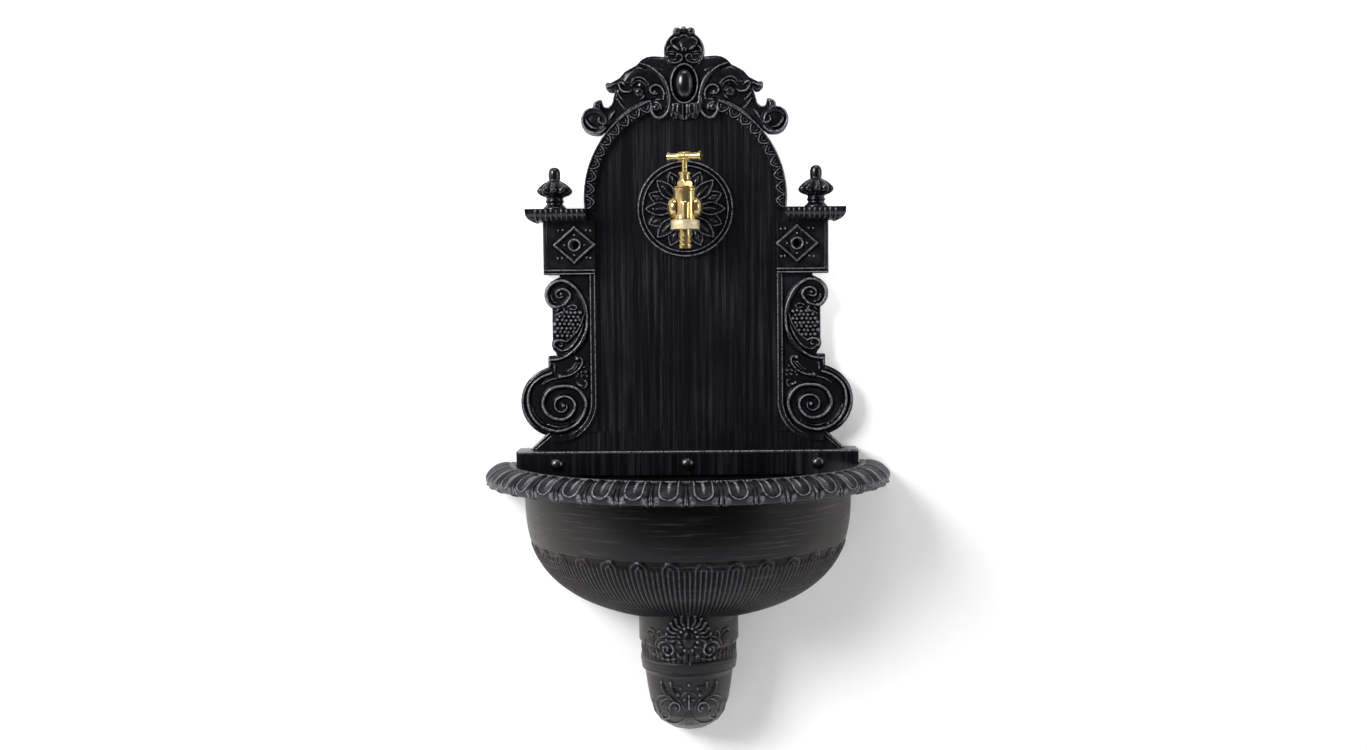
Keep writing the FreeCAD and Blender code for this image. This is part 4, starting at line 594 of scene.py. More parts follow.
def crest():
    half = Relief((0.0, 112.0), (112.0, 229.0), STEP, 17.0)
    wing = pairs(
        "0 200 21.6 196.6 33.2 197.2 39.7 196.2 45.3 193 50.2 187.8 55.1 185.3 62.5 181.1 68.2 174.7 77.1 169.9 "
        "81.1 171.2 83.6 168.4 82.8 164.3 79.4 160.6 75.5 159.8 71.9 162.6 74 157 76.5 147.3 80.5 144 84.7 144.9 "
        "87 152.2 90.2 152.3 93.5 149 94.7 145 100 144.2 105.7 140.2 109.2 133.8 109 128.1 105.9 121.6 100.2 "
        "116.7 92.9 115.1 88.1 115.8")
    foot = pairs("31.5 147 36.5 143 37.3 138 33 133 27 131.5 21.5 133.5 17.5 137.5 15.2 133.5 12 130.8 0 130.6")
    half.cover(np.vstack([wing, arc(ARCH, 107.4, 42.5, 73.0, 12), foot]), 20.0, 2.5)
    half.stroke(curve(wing[1:10], 1.0), 1.3, 2.0, 20.2, (0.4, 0.6))
    half.stroke(curve(wing[15:22], 1.0), 1.5, 2.6, 20.2, (0.5, 0.6))
    half.leaf(curve(seen(pairs("641 88 652 76 664 72"), 22)), 8.0, 1.2, 20.0)
    half.leaf(curve(seen(pairs("648 74 636 77 624 84"), 22)), 7.0, 1.6, 20.0)
    big = curve(seen(pairs(
        "640.8 65 651.5 69.2 663 79.2 668.6 91 670.2 103 668.4 112.5 663.5 118.2 657.4 119 653 113.8 652.2 107.6 "
        "655.8 103.8 660.4 106 661.6 110"), 24))
    half.stroke(big, 1.9, 4.4, 20.6, (0.35, 0.7))
    half.stroke(big[20:int(len(big) * 0.62)] + (2.4, -0.5), 1.0, 2.6, 20.6, (0.2, 0.2))
    half.stroke(ring(seen([(640.4, 93.2)], 24)[0], 2.3, 2.1), 0.7, 1.0, 24.4)
    carve(half, """
    # leaf tip that turns over the outline
    line 22 1.2 2.6 20.2 0.5 0.5  605.5 86.8 609.6 88.4 614.6 86.2 619 85
    line 22 1.4 3.4 20.2 0.6 0.3  619 85.2 622.4 92.2 628.6 93.8 632.4 92.2
    line 22 1.5 3 20.2 0.4 0.2  619.3 84.2 623 84.6 625.8 87.2
    line 22 1 2.2 20.2 0.8 0.1  618.8 95.3 621.5 99 624.8 102.6
    line 22 1.1 2.4 20.2 0.3 0.3  618.5 101 621.8 106 626 110.8
    line 22 1.4 2.6 20.2 0.2 0.3  614.6 112.5 612 117.2 609.6 121.6
    # curls inside the big scroll line
    line 24 2.4 3.8 20.6 0.2 0.3  669.4 95 670.4 103 668.8 111 665.4 117.4
    ball 24 4.6 4.2 20.4  656.6 108.6
    line 24 1.3 3.6 20.6 0.8 0.9  664 100.6 664.4 94 661.4 88.6 656.8 86.8 652.4 88.2 650.8 92 653.2 95 657.8 95.2
    ball 24 1.9 3.2 20.8  655.2 93.6
    line 24 1 2.8 20.6 0.6 0.6  668.8 94.5 665 96 663.9 101
    # ridge along the arch
    line 22 1.25 3 20.4 0.3 0.8  664 100.6 656 101.4 644 104.2 632.4 109.8 621 118.9 608.4 132.8 602.5 139
    # ball between two brows
    ball 24 5.8 5.2 20.2  639.6 93.6
    line 24 0.95 3 20.6 0.5 0.3  631.6 85 634.4 80.6 639.6 79.2 645.4 81.4 649.2 86.6
    line 24 0.95 3 20.6 0.5 0.3  632.4 87.2 635.6 83.6 640 82.5 644.6 84.6 647 88.4
    line 24 1.1 2.8 20.6 0.4 0.4  645 96.2 643.6 98.8 641 100.4
    """)
    # ball scroll at the end of the wing
    ball = (94.9, 129.6)
    half.bead(ball, 14.3, 6.4, 19.4, True)
    half.dish(ring(ball, 10.6, 10.6, 40), 3.6, 5.0)
    half.leaf(curve(seen(pairs("600.6 112 597.6 106.5 602.6 101.2"), 22)), 4.4, 4.2, 20.4, 0.8, 0, True)
    carve(half, """
    line 24 1.7 3 23 0.5 0.5  606.6 128.6 602 133 594.6 134.2 587.6 131 583.8 125 583.4 118.4 586.6 112.4
        592.6 109.6 598.6 110.6
    line 24 1.5 4.2 22.4 0.6 0.4  586.6 120.4 588.4 124.2 592.6 128.4 597.4 129.6
    ball 24 1.7 5.2 22.4  588.3 123.6
    ball 24 1.6 5 22.4  592.7 128.6
    line 24 1.3 4.6 22 0.4 0.6  607.4 124.4 603.4 125.2 599.8 122.6 600.4 118.6
    bar 24 1.3 3.2 20.8 0.4 0.4  610.8 119.2 615.2 112.4
    line 22 0.9 2.6 20.4 0.4 0.5  616.6 92.6 613.4 100.6 610.2 110
    """)
    # shell over the middle
    dome = (0.0, 202.0)
    half.bead(dome, 21.7, 1.2, 20.4, True)
    half.stroke(arc(dome, 20.4, -42, 222, 60), 1.0, 2.4, 20.4)
    lobe = seen(pairs(
        "681.6 50.4 676 48.6 672.2 46.4 671.2 44 673.2 41.4 676.4 40 679.6 40.6 681.6 43.4 682.2 47.4"), 24)
    half.cover(lobe, 22.4, 1.2)
    half.dish(lobe, 1.8, 4.0)
    half.stroke(curve(lobe[2:7]), 1.0, 3.9, 20.6, (0.7, 0.5))
    carve(half, """
    line 24 0.9 4.2 20.6 0.5 1  679.4 40.6 681.2 38.7 684.5 37.5
    bar 24 1.8 5.4 21 0.8 0.8  673.7 48.4 678.6 51.7
    """)
    lobe = seen(pairs("677.6 53.4 672.6 52.6 669.6 55.6 667.6 54.8 667.5 52 669 49.2 671.6 47.8 673.6 49.4"), 24)
    half.dish(lobe, 1.5, 3.0)
    half.stroke(curve(lobe[3:7]), 0.95, 3.6, 20.6, (0.6, 0.6))
    carve(half, """
    bar 24 0.9 3.8 20.8 0.8 0.5  669.4 53.8 675.2 54.2
    bar 24 0.8 3.4 20.8 0.8 0.5  669.8 56 675 56.6
    ball 24 1.5 3.4 20.8  668 59
    line 24 1.1 4.6 20.8 0.7 0.6  677.2 59.8 677 57.8 679 56.3 681.6 57.4 682.7 60.2 681 63 677.4 64.7 673 64.8
        669.9 63.4 668.9 61.4
    line 24 0.7 3.2 20.8 0.7 0.6  680.6 60.6 679.8 58.8 678.6 59.4
    line 24 0.9 3.6 20.8 0.7 0.6  671.4 61.2 673.6 62.6 676.2 61.4 677.8 62.4
    ball 24 1.3 5 21  683 52.7
    line 24 0.7 4 21 0.6 1  681.2 51.8 682.8 50.8 684.5 50.5
    bar 24 0.7 4.4 20.4 0.6 0.6  682.3 31.4 681 33.6
    """)
    half.bead((7.2, 222.4), 5.0, 6.0, 20.0, True)
    half.bead((0.0, 225.2), 3.2, 5.0, 20.0, True)
    # oval stone in its ring
    stone = (0.0, 167.7)
    half.cover(ring(stone, 15.4, 21.7), 21.0, 1.5)
    half.stroke(ring(stone, 13.9, 20.2, 90), 1.25, 5.2, 21.0)
    half.bead(stone, 9.9, 8.0, 22.6, tall=15.8)
    half.stroke(ring(stone, 10.4, 16.4, 90), 0.7, 2.2, 21.0)
    # apron with a scalloped edge
    half.cover(pairs(
        "-1 150 16.4 150 15.8 143 16.6 137.6 14.4 133.6 11.4 134.6 9 131.6 6.2 132.8 3.4 130.2 -1 129.8"), 25.0, 4.0)
    for x, low in ((11.6, 136.4), (6.4, 134.6), (1.2, 133.4)):
        half.stroke(curve([(0.93 * x, 147.0), (x, 0.5 * (147.0 + low)), (1.03 * x, low)]), 1.5, 0.5, None, (0.3, 0.5))
    half.rounded(2.2)
    half.h = blurred(half.h, 1)
    wear(patch("crest_look", doubled(half), 7.2), CAST, replaces=("crest",))


# Leaves along the arch and under the shelves

def leaf_row(relief, first, pitch, count, low, high, rise, ground):
    """Pointed tongues side by side, each with a raised border, a smaller tongue inside and a rib."""
    tall = high - low
    for middle in first + pitch * np.arange(count):
        for part, wide, top, tip, half in ((0, 0.44, high, low, 0.95),
                                           (1, 0.20, high - 0.1 * tall, low + 0.36 * tall, 0.6)):
            for way in (-1, 1):
                line = curve([(way * wide * pitch, top), (way * 0.92 * wide * pitch, tip + 0.62 * (top - tip)),
                              (way * 0.45 * wide * pitch, tip + 0.22 * (top - tip)), (0.0, tip)])
                relief.stroke(line + (middle, 0), half * min(1.0, pitch / 9.0), rise * (1.0 - 0.1 * part), ground,
                              (0.8, 0.9))
        between = middle + 0.5 * pitch
        relief.stroke([(between, low + 0.2), (between, low + 0.42 * tall)], 0.7, 0.6 * rise, ground, (0.3, 0.6))


def arch_leaves():
    """The band is laid flat as length along the arch and distance from its centre."""
    middle_radius, count = 101.4, 25
    length = middle_radius * math.radians(96.8)
    strip = Relief((-length, length), (95.3, 107.3), STEP, 20.7)
    strip.block((0.0, 101.3), (length, 5.9))
    strip.edge = np.maximum(strip.edge, middle_radius * math.radians(19.5) - np.abs(strip.x))
    pitch = 2 * length / count
    leaf_row(strip, -length + 0.5 * pitch, pitch, count, 95.9, 104.6, 3.8, 20.2)
    strip.stroke([(-length, 106.3), (length, 106.3)], 1.0, 2.9, 20.7)
    strip.rounded(0.6)

    def bent(x, z, out):
        angle = QUARTER - x / middle_radius
        return np.stack([ARCH[0] + z * np.cos(angle), -out, ARCH[1] + z * np.sin(angle)], 1)
    wear(patch("arch_leaves", strip, 20.1, bent), CAST)


def shelf_leaves(side):
    """Tongues under the shelf, on the quarter round that runs along its front and its outer end."""
    radius, start, face = 11.0, 104.3, 43.0
    quarter = QUARTER * radius
    run_front = 167.3 - radius - start
    run_corner = 0.6 * quarter
    length = run_front + run_corner + face - radius
    strip = Relief((0.0, length), (0.0, quarter + 0.9), STEP, 0.0)
    strip.block((0.5 * length, 0.5 * quarter + 0.45), (0.5 * length, 0.5 * quarter + 0.25))
    pitch = 5.4
    for index in range(int(length / pitch) + 1):
        middle = (index + 0.5) * pitch
        tongue = curve([(middle + 0.5, quarter - 0.6), (middle, 0.55 * quarter), (middle - 0.9, 1.6)])
        strip.stroke(tongue, 1.7, 2.0, 0.25, (0.7, 0.9))
    strip.h -= 0.25

    def wrapped(x, z, rise):
        """z runs from the lower inner end of the curve up to the shelf's upper edge."""
        angle = np.clip(z, 0, quarter) / radius
        grow = radius + rise - 0.55
        inset = grow * np.sin(angle)
        height = 25.0 + radius - grow * np.cos(angle) + np.clip(z - quarter, 0, None)
        corner = np.clip((x - run_front) / run_corner, 0.0, 1.0) * QUARTER
        across = start + np.minimum(x, run_front) + inset * np.sin(corner)
        out = face - radius + inset * np.cos(corner) - np.clip(x - run_front - run_corner, 0.0, None)
        return np.stack([side * across, -out, height], 1)
    wear(patch(side_name("shelf_leaves_", side), strip, -0.6, wrapped), CAST)


# Pier face with its diamond, and the moulding below it

# Middle of a pier's diamond, which is also where the wall screw goes through
DIAMOND = 117.0


def pier_face(side):
    middle = DIAMOND
    face = Relief((92.6, 149.7), (-31.1, 24.9), STEP, 26.25)
    face.block((122.75, -3.1), (26.9, 28.0))
    tips = np.array([(middle - 23.2, 0.2), (middle, 20.3), (middle + 23.2, 0), (middle, -20.3)])
    line = np.vstack([np.linspace(a, b, 30) for a, b in zip(tips, np.roll(tips, -1, 0))])
    face.cover(tips, 27.2, 1.0)
    face.stroke((line - (middle, 0)) * 0.89 + (middle, 0), 1.9, 2.9, 27.0, (1.0, 1.0), 0.7)
    core = np.abs(face.x - middle) / 18.2 + np.abs(face.z) / 15.9
    face.h = np.where(core < 1, np.minimum(face.h, 25.9 + 2.4 * np.clip((core - 0.86) / 0.14, 0, 1)), face.h)
    face.stroke(ring((middle, 0), 5.9, 5.9), 1.3, 2.4, 26.0)
    for x, z in ((-10.5, 0), (10.5, 0), (0, 10.6), (0, -10.6)):
        face.bead((middle + x, z), 1.6, 1.8, 25.8)
    for x, z in pairs("-16.8 15.6 -12.2 16 16.8 15 12.4 15.4 -17.4 -13.8 -12.8 -13.4 16.8 -13.6 13 -13.2"):
        face.bead((middle - x, z), 1.5, 1.7, 26.25)
    # moulding under the pier that turns down beside the console
    face.stroke([(149.2, -26.6), (96.2, -26.6)], 1.1, 1.9, 26.25)
    face.stroke([(149.2, -30.1), (96.2, -30.1)], 1.0, 1.5, 26.25)
    face.stroke([(147.8, 24.0), (147.2, -28.0)], 1.6, 0.8, 26.25)
    face.hole((middle, 0), 4.35)
    face.rounded(0.7)
    wear(patch(side_name("pier_face_", side), face, 25.6, mirror=side < 0), CAST)


def pier_side(side):
    """Closes a pier's inner flank between the field and the pier's face."""
    section = pairs("95.42 15.4 95.42 25.4 96 26.1 98.6 26.1 99.2 25.4 99.2 15.4")
    points = [(side * x, -out, z) for z in (-31.25, 25.2) for x, out in section]
    i = np.arange(len(section))
    faces = [tube(2, len(i), False, True), np.array([i[::-1], len(i) + i])]
    wear(make(side_name("pier_side_", side), points, faces), CAST)


# Consoles beside the field: volute, grapes, leaf curl, bracket and scroll

def berries():
    """Centres of the berries of one bunch, in staggered rows that narrow towards its tip."""
    spots = []
    rows = [(312.6, 560.0, 581.0), (316.5, 557.0, 582.0), (320.4, 555.4, 580.5), (324.3, 556.0, 579.0),
            (328.2, 556.4, 577.4), (332.1, 555.8, 575.0), (336.0, 557.0, 571.6)]
    for number, (y, left, right) in enumerate(rows):
        for place in range(8):
            x = 554.0 + 4.4 * place + 2.2 * (number % 2)
            if left <= x <= right:
                spots.append((x + RNG.uniform(-0.5, 0.5), y + RNG.uniform(-0.5, 0.5)))
    return seen(spots, 22)


def console(side):
    panel = Relief((95.2, 177.4), (-216.0, -30.0), STEP, 20.4)
    scroll = (138.6, -165.5)
    line = seen(pairs(
        "560 275 560 277.3 552 281.3 547.5 286 545 292.5 545.3 298 548 303.5 552.5 308 556.2 310 554.5 314 553.2 318 "
        "552.5 321 555 325 555.4 330 553.2 333.5 554 338 552.6 341.5 552 345 553.5 350 557 353.6 561.6 355.2 556 357 "
        "549.3 357.8 549 368.2 546 369.4 537 374.5 527.5 383 522.8 392 521.3 400 522.5 410 527.5 421 535 428.5 "
        "545.5 433.2"), 20)
    panel.cover(np.vstack([line, arc(scroll, 42.4, 262.0, 180.0, 16), pairs("96.2 -165.5 96.2 -31 112 -31")]))
    panel.cover(pairs(
        "95.6 -31.2 133.7 -31.2 133.7 -52.3 141.8 -66.8 141.8 -104.1 137.3 -117 146.6 -117 146.6 -131.2 138.9 -131.2 "
        "138.9 -165.5 95.6 -165.5"))
    for centre, radius in (((133.4, -52.3), 16.7), ((133.4, -104.1), 9.2), (scroll, 37.3)):
        panel.bead(centre, radius, 0.02, 20.4, True)
    panel.cover(np.vstack([arc(scroll, 42.7, 180.0, 270.0, 24), [scroll]]))
    # frame moulding
    for x, bend, half, rise in ((100.9, 37.7, 1.25, 3.2), (96.4, 42.2, 1.25, 3.2), (98.6, 40.0, 2.4, 1.6)):
        path = np.vstack([[(x, -31.0), (x, -165.5)], arc(scroll, bend, 180.0, 262.0, 30)])
        panel.stroke(path, half, rise, 20.9, (1.0, 0.6))
    path = curve(seen(pairs("588 318 585.6 304 580.5 294 574.8 287.6"), 22))
    panel.stroke(path + (2.2, -0.6), 1.2, 2.8, 20.6, (0.3, 0.3))
    path = curve(seen(pairs("549.3 297 551.5 302.4 556.5 305.4"), 22))
    panel.stroke(path + (-2.2, 1.4), 0.8, 2.0, 20.6, (0.3, 0.3))
    panel.stroke(spiral(seen([(560.6, 345)], 22)[0], 3.6, 0.9, 20.0, 0.6, 30), 0.9, 2.4, 20.6, (0.5, 0.7))
    carve(panel, """
    # great ridge from the bracket up and round the volute
    line 22 2 4.4 20.6 0.7 0.6  550.4 360.2 559.6 359 567.4 355.6 575.7 348.5 582.3 340 586.4 330.6 587.7 321 587 311
        584.3 301.6 578.7 291.3 571.3 284 564 280.8 556.7 281.7 550.8 285.8 547.3 292 547.8 299.3 551.8 305.2 558 307
        564.2 304.9 568.4 300.6 570.8 295.8 568.6 291.2 563.3 289 557.9 291.2 556.6 295.2 559.2 297.8 563.2 296.8
    ball 22 2 2.6 20.6  561.4 294
    line 22 2.9 4.6 20.6 0.3 0.4  586.6 328 583.1 339.5 576.6 348.6 568.2 355.6
    line 22 1.2 3.3 20.6 0.4 0.7  584.4 313.6 582 323 577.6 331 571.2 338 566.6 341.8
    line 22 1.2 3.2 20.6 0.3 0.5  584.4 322 581.4 331 577 339.8 571.2 347 564 350.6 558.8 349.2 556.6 346.6
    line 22 1.7 3.8 20.6 0.6 0.6  566.6 341.8 561.8 340.2 556.6 341 554.4 344 555.6 347.4
    # stem and leaves over the berries
    line 22 1.2 3.2 20.6 1 1  563.4 304.6 564.6 309 566 312
    line 22 1.2 3.2 20.6 0.8 0.3  564 307.4 559.6 308.8 556.4 311.6
    line 22 1.2 3.2 20.6 0.8 0.3  563.4 311 559.6 313.4 555.8 315.6
    line 22 0.9 2.4 20.6 1 1  568.4 306.6 573 305.2 577.2 306.8 575.4 309.6 571 309
    """)
    panel.cover(seen(pairs("558 312 581 313 580 325 574 336 560 339 554.6 334 554 321"), 22), 20.8, 4.0)
    for spot in berries():
        panel.bead(spot, 2.35, 3.4, 20.8)
    carve(panel, """
    # bracket
    line 22 1 2.2 20.6 0.6 0.4  550.6 359.6 550.2 367.6
    line 22 1 2.2 20.6 0.6 0.4  554.4 364.6 554.8 372.4
    # leaf curl between bracket and scroll, with its berries
    ball 22 2.3 3.4 20.6  577.4 358.6
    line 22 1.3 3.4 20.6 0.4 1  579 357.2 582 359 582.6 363.4 579.2 369 573.2 373.6 567 376.2 560.2 376.8
    line 22 0.9 2.6 20.6 0.3 0.3  579.4 363.4 575.4 368.6 570 373
    line 22 0.8 2.2 20.6 0.3 0.3  577 363 572.6 368.2 568 371.6
    ball 22 2.6 3.4 20.6  560.4 376.6
    ball 22 1.25 2.4 20.6  584.3 367.5
    ball 22 1.25 2.4 20.6  581.7 372.2
    ball 22 1.25 2.4 20.6  586.5 372.2
    ball 22 1.25 2.4 20.6  578.4 373.8
    ball 22 1.25 2.4 20.6  577.3 376.4
    ball 22 1.25 2.4 20.6  587.6 376.4
    ball 22 1.25 2.4 20.6  582.4 376
    line 22 1.7 3.4 20.6 0.3 0.5  577.4 383.4 580.4 385.4 583.4 385.8
    line 22 0.9 2.4 20.6 0.3 0.3  585.6 381 587.4 384.2 585.2 387.8 582 388.4
    # great scroll
    line 22 2.1 4.6 20.6 0.7 0.5  551.7 373.4 544.3 375.9 536.3 381.1 530.8 387.7 528.4 395.7 528.4 404.5 530.8 413.3
        535.5 420.6 542.9 427.2 551.7 430.6 559 431.3 567.8 429 576.6 424.3 582.5 417 585.8 408.2 585.8 400.9 582.5
        394.3 577.3 389.1 570.7 386.6 562.7 386.2 554.6 387.7 548 392.1 544.2 398.7 543 405 545.5 411.5 550.5 416.4
        557 419.2 563.5 419.4 569.5 416.6 574 411 575.2 404.8 572.6 399.6 567.4 396.8 561.6 397 557 399.8 554.9 404.4
        556 408.8 559.4 411.8 563.8 411.8 567 408.6 566.6 405
    ball 22 2.6 4.6 20.6  563.4 405.6
    line 22 0.9 2.6 20.6 0.4 0.3  531.4 407.6 534.6 414.4 540.6 421.6 547.4 426.6
    line 22 1.3 2 20.6 0.3 0.3  548 425.2 559 427.4 567.8 425.4 574.4 422
    line 22 0.9 2.4 20.6 0.3 0.6  543 384.6 549.5 380.4 558.4 378
    line 21 1.1 2 20.5 0.5 0.5  548 370.4 538.2 375.4 529 384 524.6 392.6 523.2 400.4 524.4 409.6 529.2 420 536.6
        427.2 545.6 431.4
    """)
    panel.rounded(1.0)
    panel.h = blurred(panel.h, 1)
    wear(patch(side_name("console_", side), panel, 0.3, mirror=side < 0), CAST)


def ledge_edge():
    """Thin bead along the top of the strip, painted silver as a highlight."""
    edge = Relief((-179.2, 179.2), (-219.4, -216.6), STEP, 40.0)
    edge.block((0.0, -217.9), (179.0, 1.2))
    edge.stroke([(-179.0, -217.5), (179.0, -217.5)], 0.8, 0.9, 40.0)
    edge.h += 0.05
    wear(patch("ledge_edge", edge, 39.4), STRIP_EDGE_HIGHLIGHT)


def foot_moulding(side):
    """Moulding down the slanted foot, from the scroll to the ledge."""
    foot = Relief((136.0, 168.0), (-217.0, -194.0), STEP, 18.1)
    foot.stroke([(146.0, -198.4), (164.8, -216.0)], 1.25, 2.4, 18.1, cover=True)
    foot.stroke([(142.4, -200.2), (161.0, -216.0)], 0.9, 1.6, 18.1, cover=True)
    foot.edge = np.maximum(foot.edge, -216.4 - foot.z)
    wear(patch(side_name("foot_moulding_", side), foot, 17.4, mirror=side < 0), CAST)


# Rosette behind the tap: two rings and two wreaths of eight pointed petals

def petal(disc, centre, turn, end, half, rise, ground, vein):
    lean = np.array([math.cos(turn), math.sin(turn)])
    across = half * np.array([-lean[1], lean[0]])
    start = 14.0
    edges = [curve([centre + lean * (start + along * (end - start)) + side * wide * across
                    for along, wide in ((0.0, 0.35), (0.42, 1.0), (0.78, 0.62), (1.0, 0.0))]) for side in (1, -1)]
    outline = np.vstack([edges[0], edges[1][::-1]])
    spot = disc.window(outline, 2.0)
    disc.h[spot] = np.where(disc.distance(outline, spot) < 0, ground, disc.h[spot])
    for line in edges:
        disc.stroke(line, 1.0, rise, ground - 0.2, (0.8, 0.9))
    disc.leaf([centre + lean * vein[0], centre + lean * vein[1]], vein[2], 0.75 * rise, ground, tip=0.05, butt=0.4)


def rosette():
    centre = (0.0, 37.3)
    disc = Relief((-52.0, 52.0), (-15.0, 89.6), STEP, 19.0)
    disc.cover(ring(centre, 50.9, 50.9, 120))
    for turn in range(8):
        petal(disc, centre, math.radians(22.5 + 45 * turn), 41.6, 7.4, 2.4, 19.6, (27.0, 36.5, 2.6))
    for turn in range(8):
        petal(disc, centre, math.radians(45 * turn), 41.8, 6.5, 2.8, 20.2, (17.0, 34.0, 2.0))
    disc.stroke(ring(centre, 49.4, 49.4, 160), 1.35, 3.4, 19.2)
    disc.stroke(ring(centre, 45.0, 45.0, 160), 1.15, 3.0, 19.2)
    band = np.hypot(disc.x - centre[0], disc.z - centre[1])
    disc.h = np.where((band > 45.6) & (band < 49.0), np.maximum(disc.h, 20.2), disc.h)
    disc.hole(centre, 10.9)
    disc.rounded(0.9)
    disc.h = blurred(disc.h, 1)
    wear(patch("rosette_look", disc, 16.0), CAST, replaces=("rosette",))


# Finials: a knob on a lobed skirt over a turned foot

SKIRT_MIDDLE, SKIRT_HALF, SKIRT_RADIUS = 58.5, 9.5, 18.98
FINIAL_ACROSS, FINIAL_OUT = 137.5, 21.5


def finial(side):
    section = pairs(
        "0 37.4 12.3 37.4 12.4 38 12 39.2 11 40.3 9.6 41.6 8.6 43 8.7 44.2 9.3 45 9.7 45.9 9.5 46.8 8.8 47.6 8.9 "
        "49 9.8 50.2 12.6 51.2 15.8 52.6 18 54.4 18.9 56.2 18.7 58 17.2 60.2 14.6 62.6 11.8 64.9 9 66.4 6.8 67.6 "
        "6.1 68.6 6.3 71 6.4 75 5.9 78 4.6 80.2 2.6 81.5 1 81.85 0 81.9")
    section = np.vstack([section[:1], curve(section[1:-1], 0.7), section[-1:]])

    def lobed(radius, height, angle):
        skirt = np.clip(1 - ((height - SKIRT_MIDDLE) / SKIRT_HALF) ** 4, 0, 1)
        wave = np.abs(np.sin(5.0 * angle))
        return np.minimum(radius * (1.0 - 0.24 * skirt * (1 - wave ** 0.75)), SKIRT_RADIUS)
    foot = (side * FINIAL_ACROSS, -FINIAL_OUT, 0)
    piece = turned(side_name("finial_look_", side), section, 240, foot, wobble=lobed, sharp=50)
    wear(piece, CAST_KNOB, replaces=(side_name("finial_", side),))


# Basin

# Heights of rim, bowl, lip, drain seat and the reeds' arches
RIM_TOP, RIM_END, BOWL_TOP = -229.0, -250.7, -255.7
LIP, SEAT, REED_TOP = RIM_TOP - 2.2, -390.0, -323.0
# Radii of the rim and of the place where the reeds are measured, and the drain's distance from the wall
RIM_RADIUS, REED_RADIUS, DRAIN_OUT = 216.0, 160.0, 66.0
# Turn that a gadroon and a reed take up, and a gadroon's length round the rim
LOBE_TURN, REED_TURN, LOBE = math.radians(9.0), math.radians(11.25), 32.7
# Front and back of the basin's back wall, and half its width above the rim
PLATE_FRONT, PLATE_BACK, PLATE_HALF = 35.0, 29.0, 178.4


def arc_through(a, b, c, count):
    """Places on the arc through three points."""
    a, b, c = np.array([a, b, c])
    centre = np.linalg.solve(2 * np.array([b - a, c - b]), [b @ b - a @ a, c @ c - b @ b])
    start, _, end = np.unwrap([math.atan2(z, x) for x, z in (a - centre, b - centre, c - centre)])
    return around(centre, math.dist(a, centre), np.linspace(start, end, count))


def bowl(radius, deep, count):
    turn = np.linspace(0.0, QUARTER, count)
    return np.stack([radius * np.cos(turn).clip(0) ** 0.94, BOWL_TOP - deep * np.sin(turn) ** 0.67], 1)


BOWL_LINE = bowl(175.0, 140.3, 400)


def bowl_height(radius):
    """Height of the bowl's outer skin at a distance from its axis."""
    return np.interp(radius, BOWL_LINE[::-1, 0], BOWL_LINE[::-1, 1])


def evenly(path, step):
    """The same line with evenly spaced places, and the distance along it."""
    mark = np.concatenate([[0], np.cumsum(np.hypot(*(path[1:] - path[:-1]).T))])
    even = np.linspace(0, mark[-1], max(int(mark[-1] / step), 2))
    return np.stack([np.interp(even, mark, path[:, k]) for k in (0, 1)], 1), even


def outward(path, aim):
    """Normals of a line, on the side that aim points to."""
    slope = np.gradient(path, axis=0)
    slope /= np.maximum(np.hypot(slope[:, 0], slope[:, 1]), 1e-9)[:, None]
    normal = np.stack([-slope[:, 1], slope[:, 0]], 1)
    return np.where((normal @ aim)[:, None] < 0, -normal, normal)


def gadroons(turn, along):
    """Height of the rim over its ground, with a fluted lobe and a rib in turn, and its ridge value, which holds
    silver on the lines and painted reflections, highlights and shade.
    """
    across = np.abs((turn / LOBE_TURN) % 1.0 - 0.5) * LOBE
    half, corner, end = 14.4, 5.5, 42.0
    over = np.hypot(np.clip(across - half + corner, 0, None), np.clip(along - end + corner, 0, None))
    pillow = np.clip(1.0 - (over / corner) ** 2.5, 0.0, 1.0) ** 0.75 * (1.0 - 0.22 * (across / half) ** 2)
    beside = 0.5 * LOBE - across
    rib = np.exp(-(beside / 1.25) ** 4)
    leg = 9.2 - 0.02 * along
    bend = np.hypot(across, np.clip(along - 26.0, 0, None))
    line = np.exp(-((bend - leg) / 0.75) ** 2)
    flute = 0.5 + 0.5 * np.cos(math.pi * np.clip(bend / leg, 0, 1))
    height = np.maximum(2.5 * pillow, (1.2 + 1.0 * np.clip((along - 6.0) / 24.0, 0, 1)) * rib)
    height = (height - 1.5 * flute + 0.45 * line) * np.clip(along / 2.0, 0, 1)
    # painted shade beside the ribs and around the U line; painted reflections in the lobes' lower corners and down
    # each flute; painted highlights along the lip and on the ribs, more so lower down
    gap_shade = np.exp(-((beside - 2.1) / 0.6) ** 2)
    inside = np.exp(-((bend - leg + 1.7) / 0.7) ** 2) + 0.6 * np.exp(-((bend - leg - 1.8) / 0.7) ** 2)
    corner_reflection = np.exp(-((along - 36.0) / 4.6) ** 4 - ((across - 10.6) / 4.4) ** 2)
    streak = np.exp(-(across / 1.8) ** 2) * np.clip((along - 3.0) / 6.0, 0, 1) * np.clip((33.0 - along) / 12.0, 0, 1)
    lit = np.clip((along - 20.0) / 16.0, 0.25, 1.0)
    edge = np.exp(-((along - 1.4) / 0.9) ** 2)
    rim_rub_and_painted_light = (0.50 + 0.44 * line + 0.44 * lit * np.exp(-((beside - 0.9) / 0.5) ** 2) + 0.33 * corner_reflection + 0.41 * streak
              + 0.40 * edge - 0.30 * gap_shade - 0.20 * inside)
    return height, np.clip(rim_rub_and_painted_light, 0, 1)


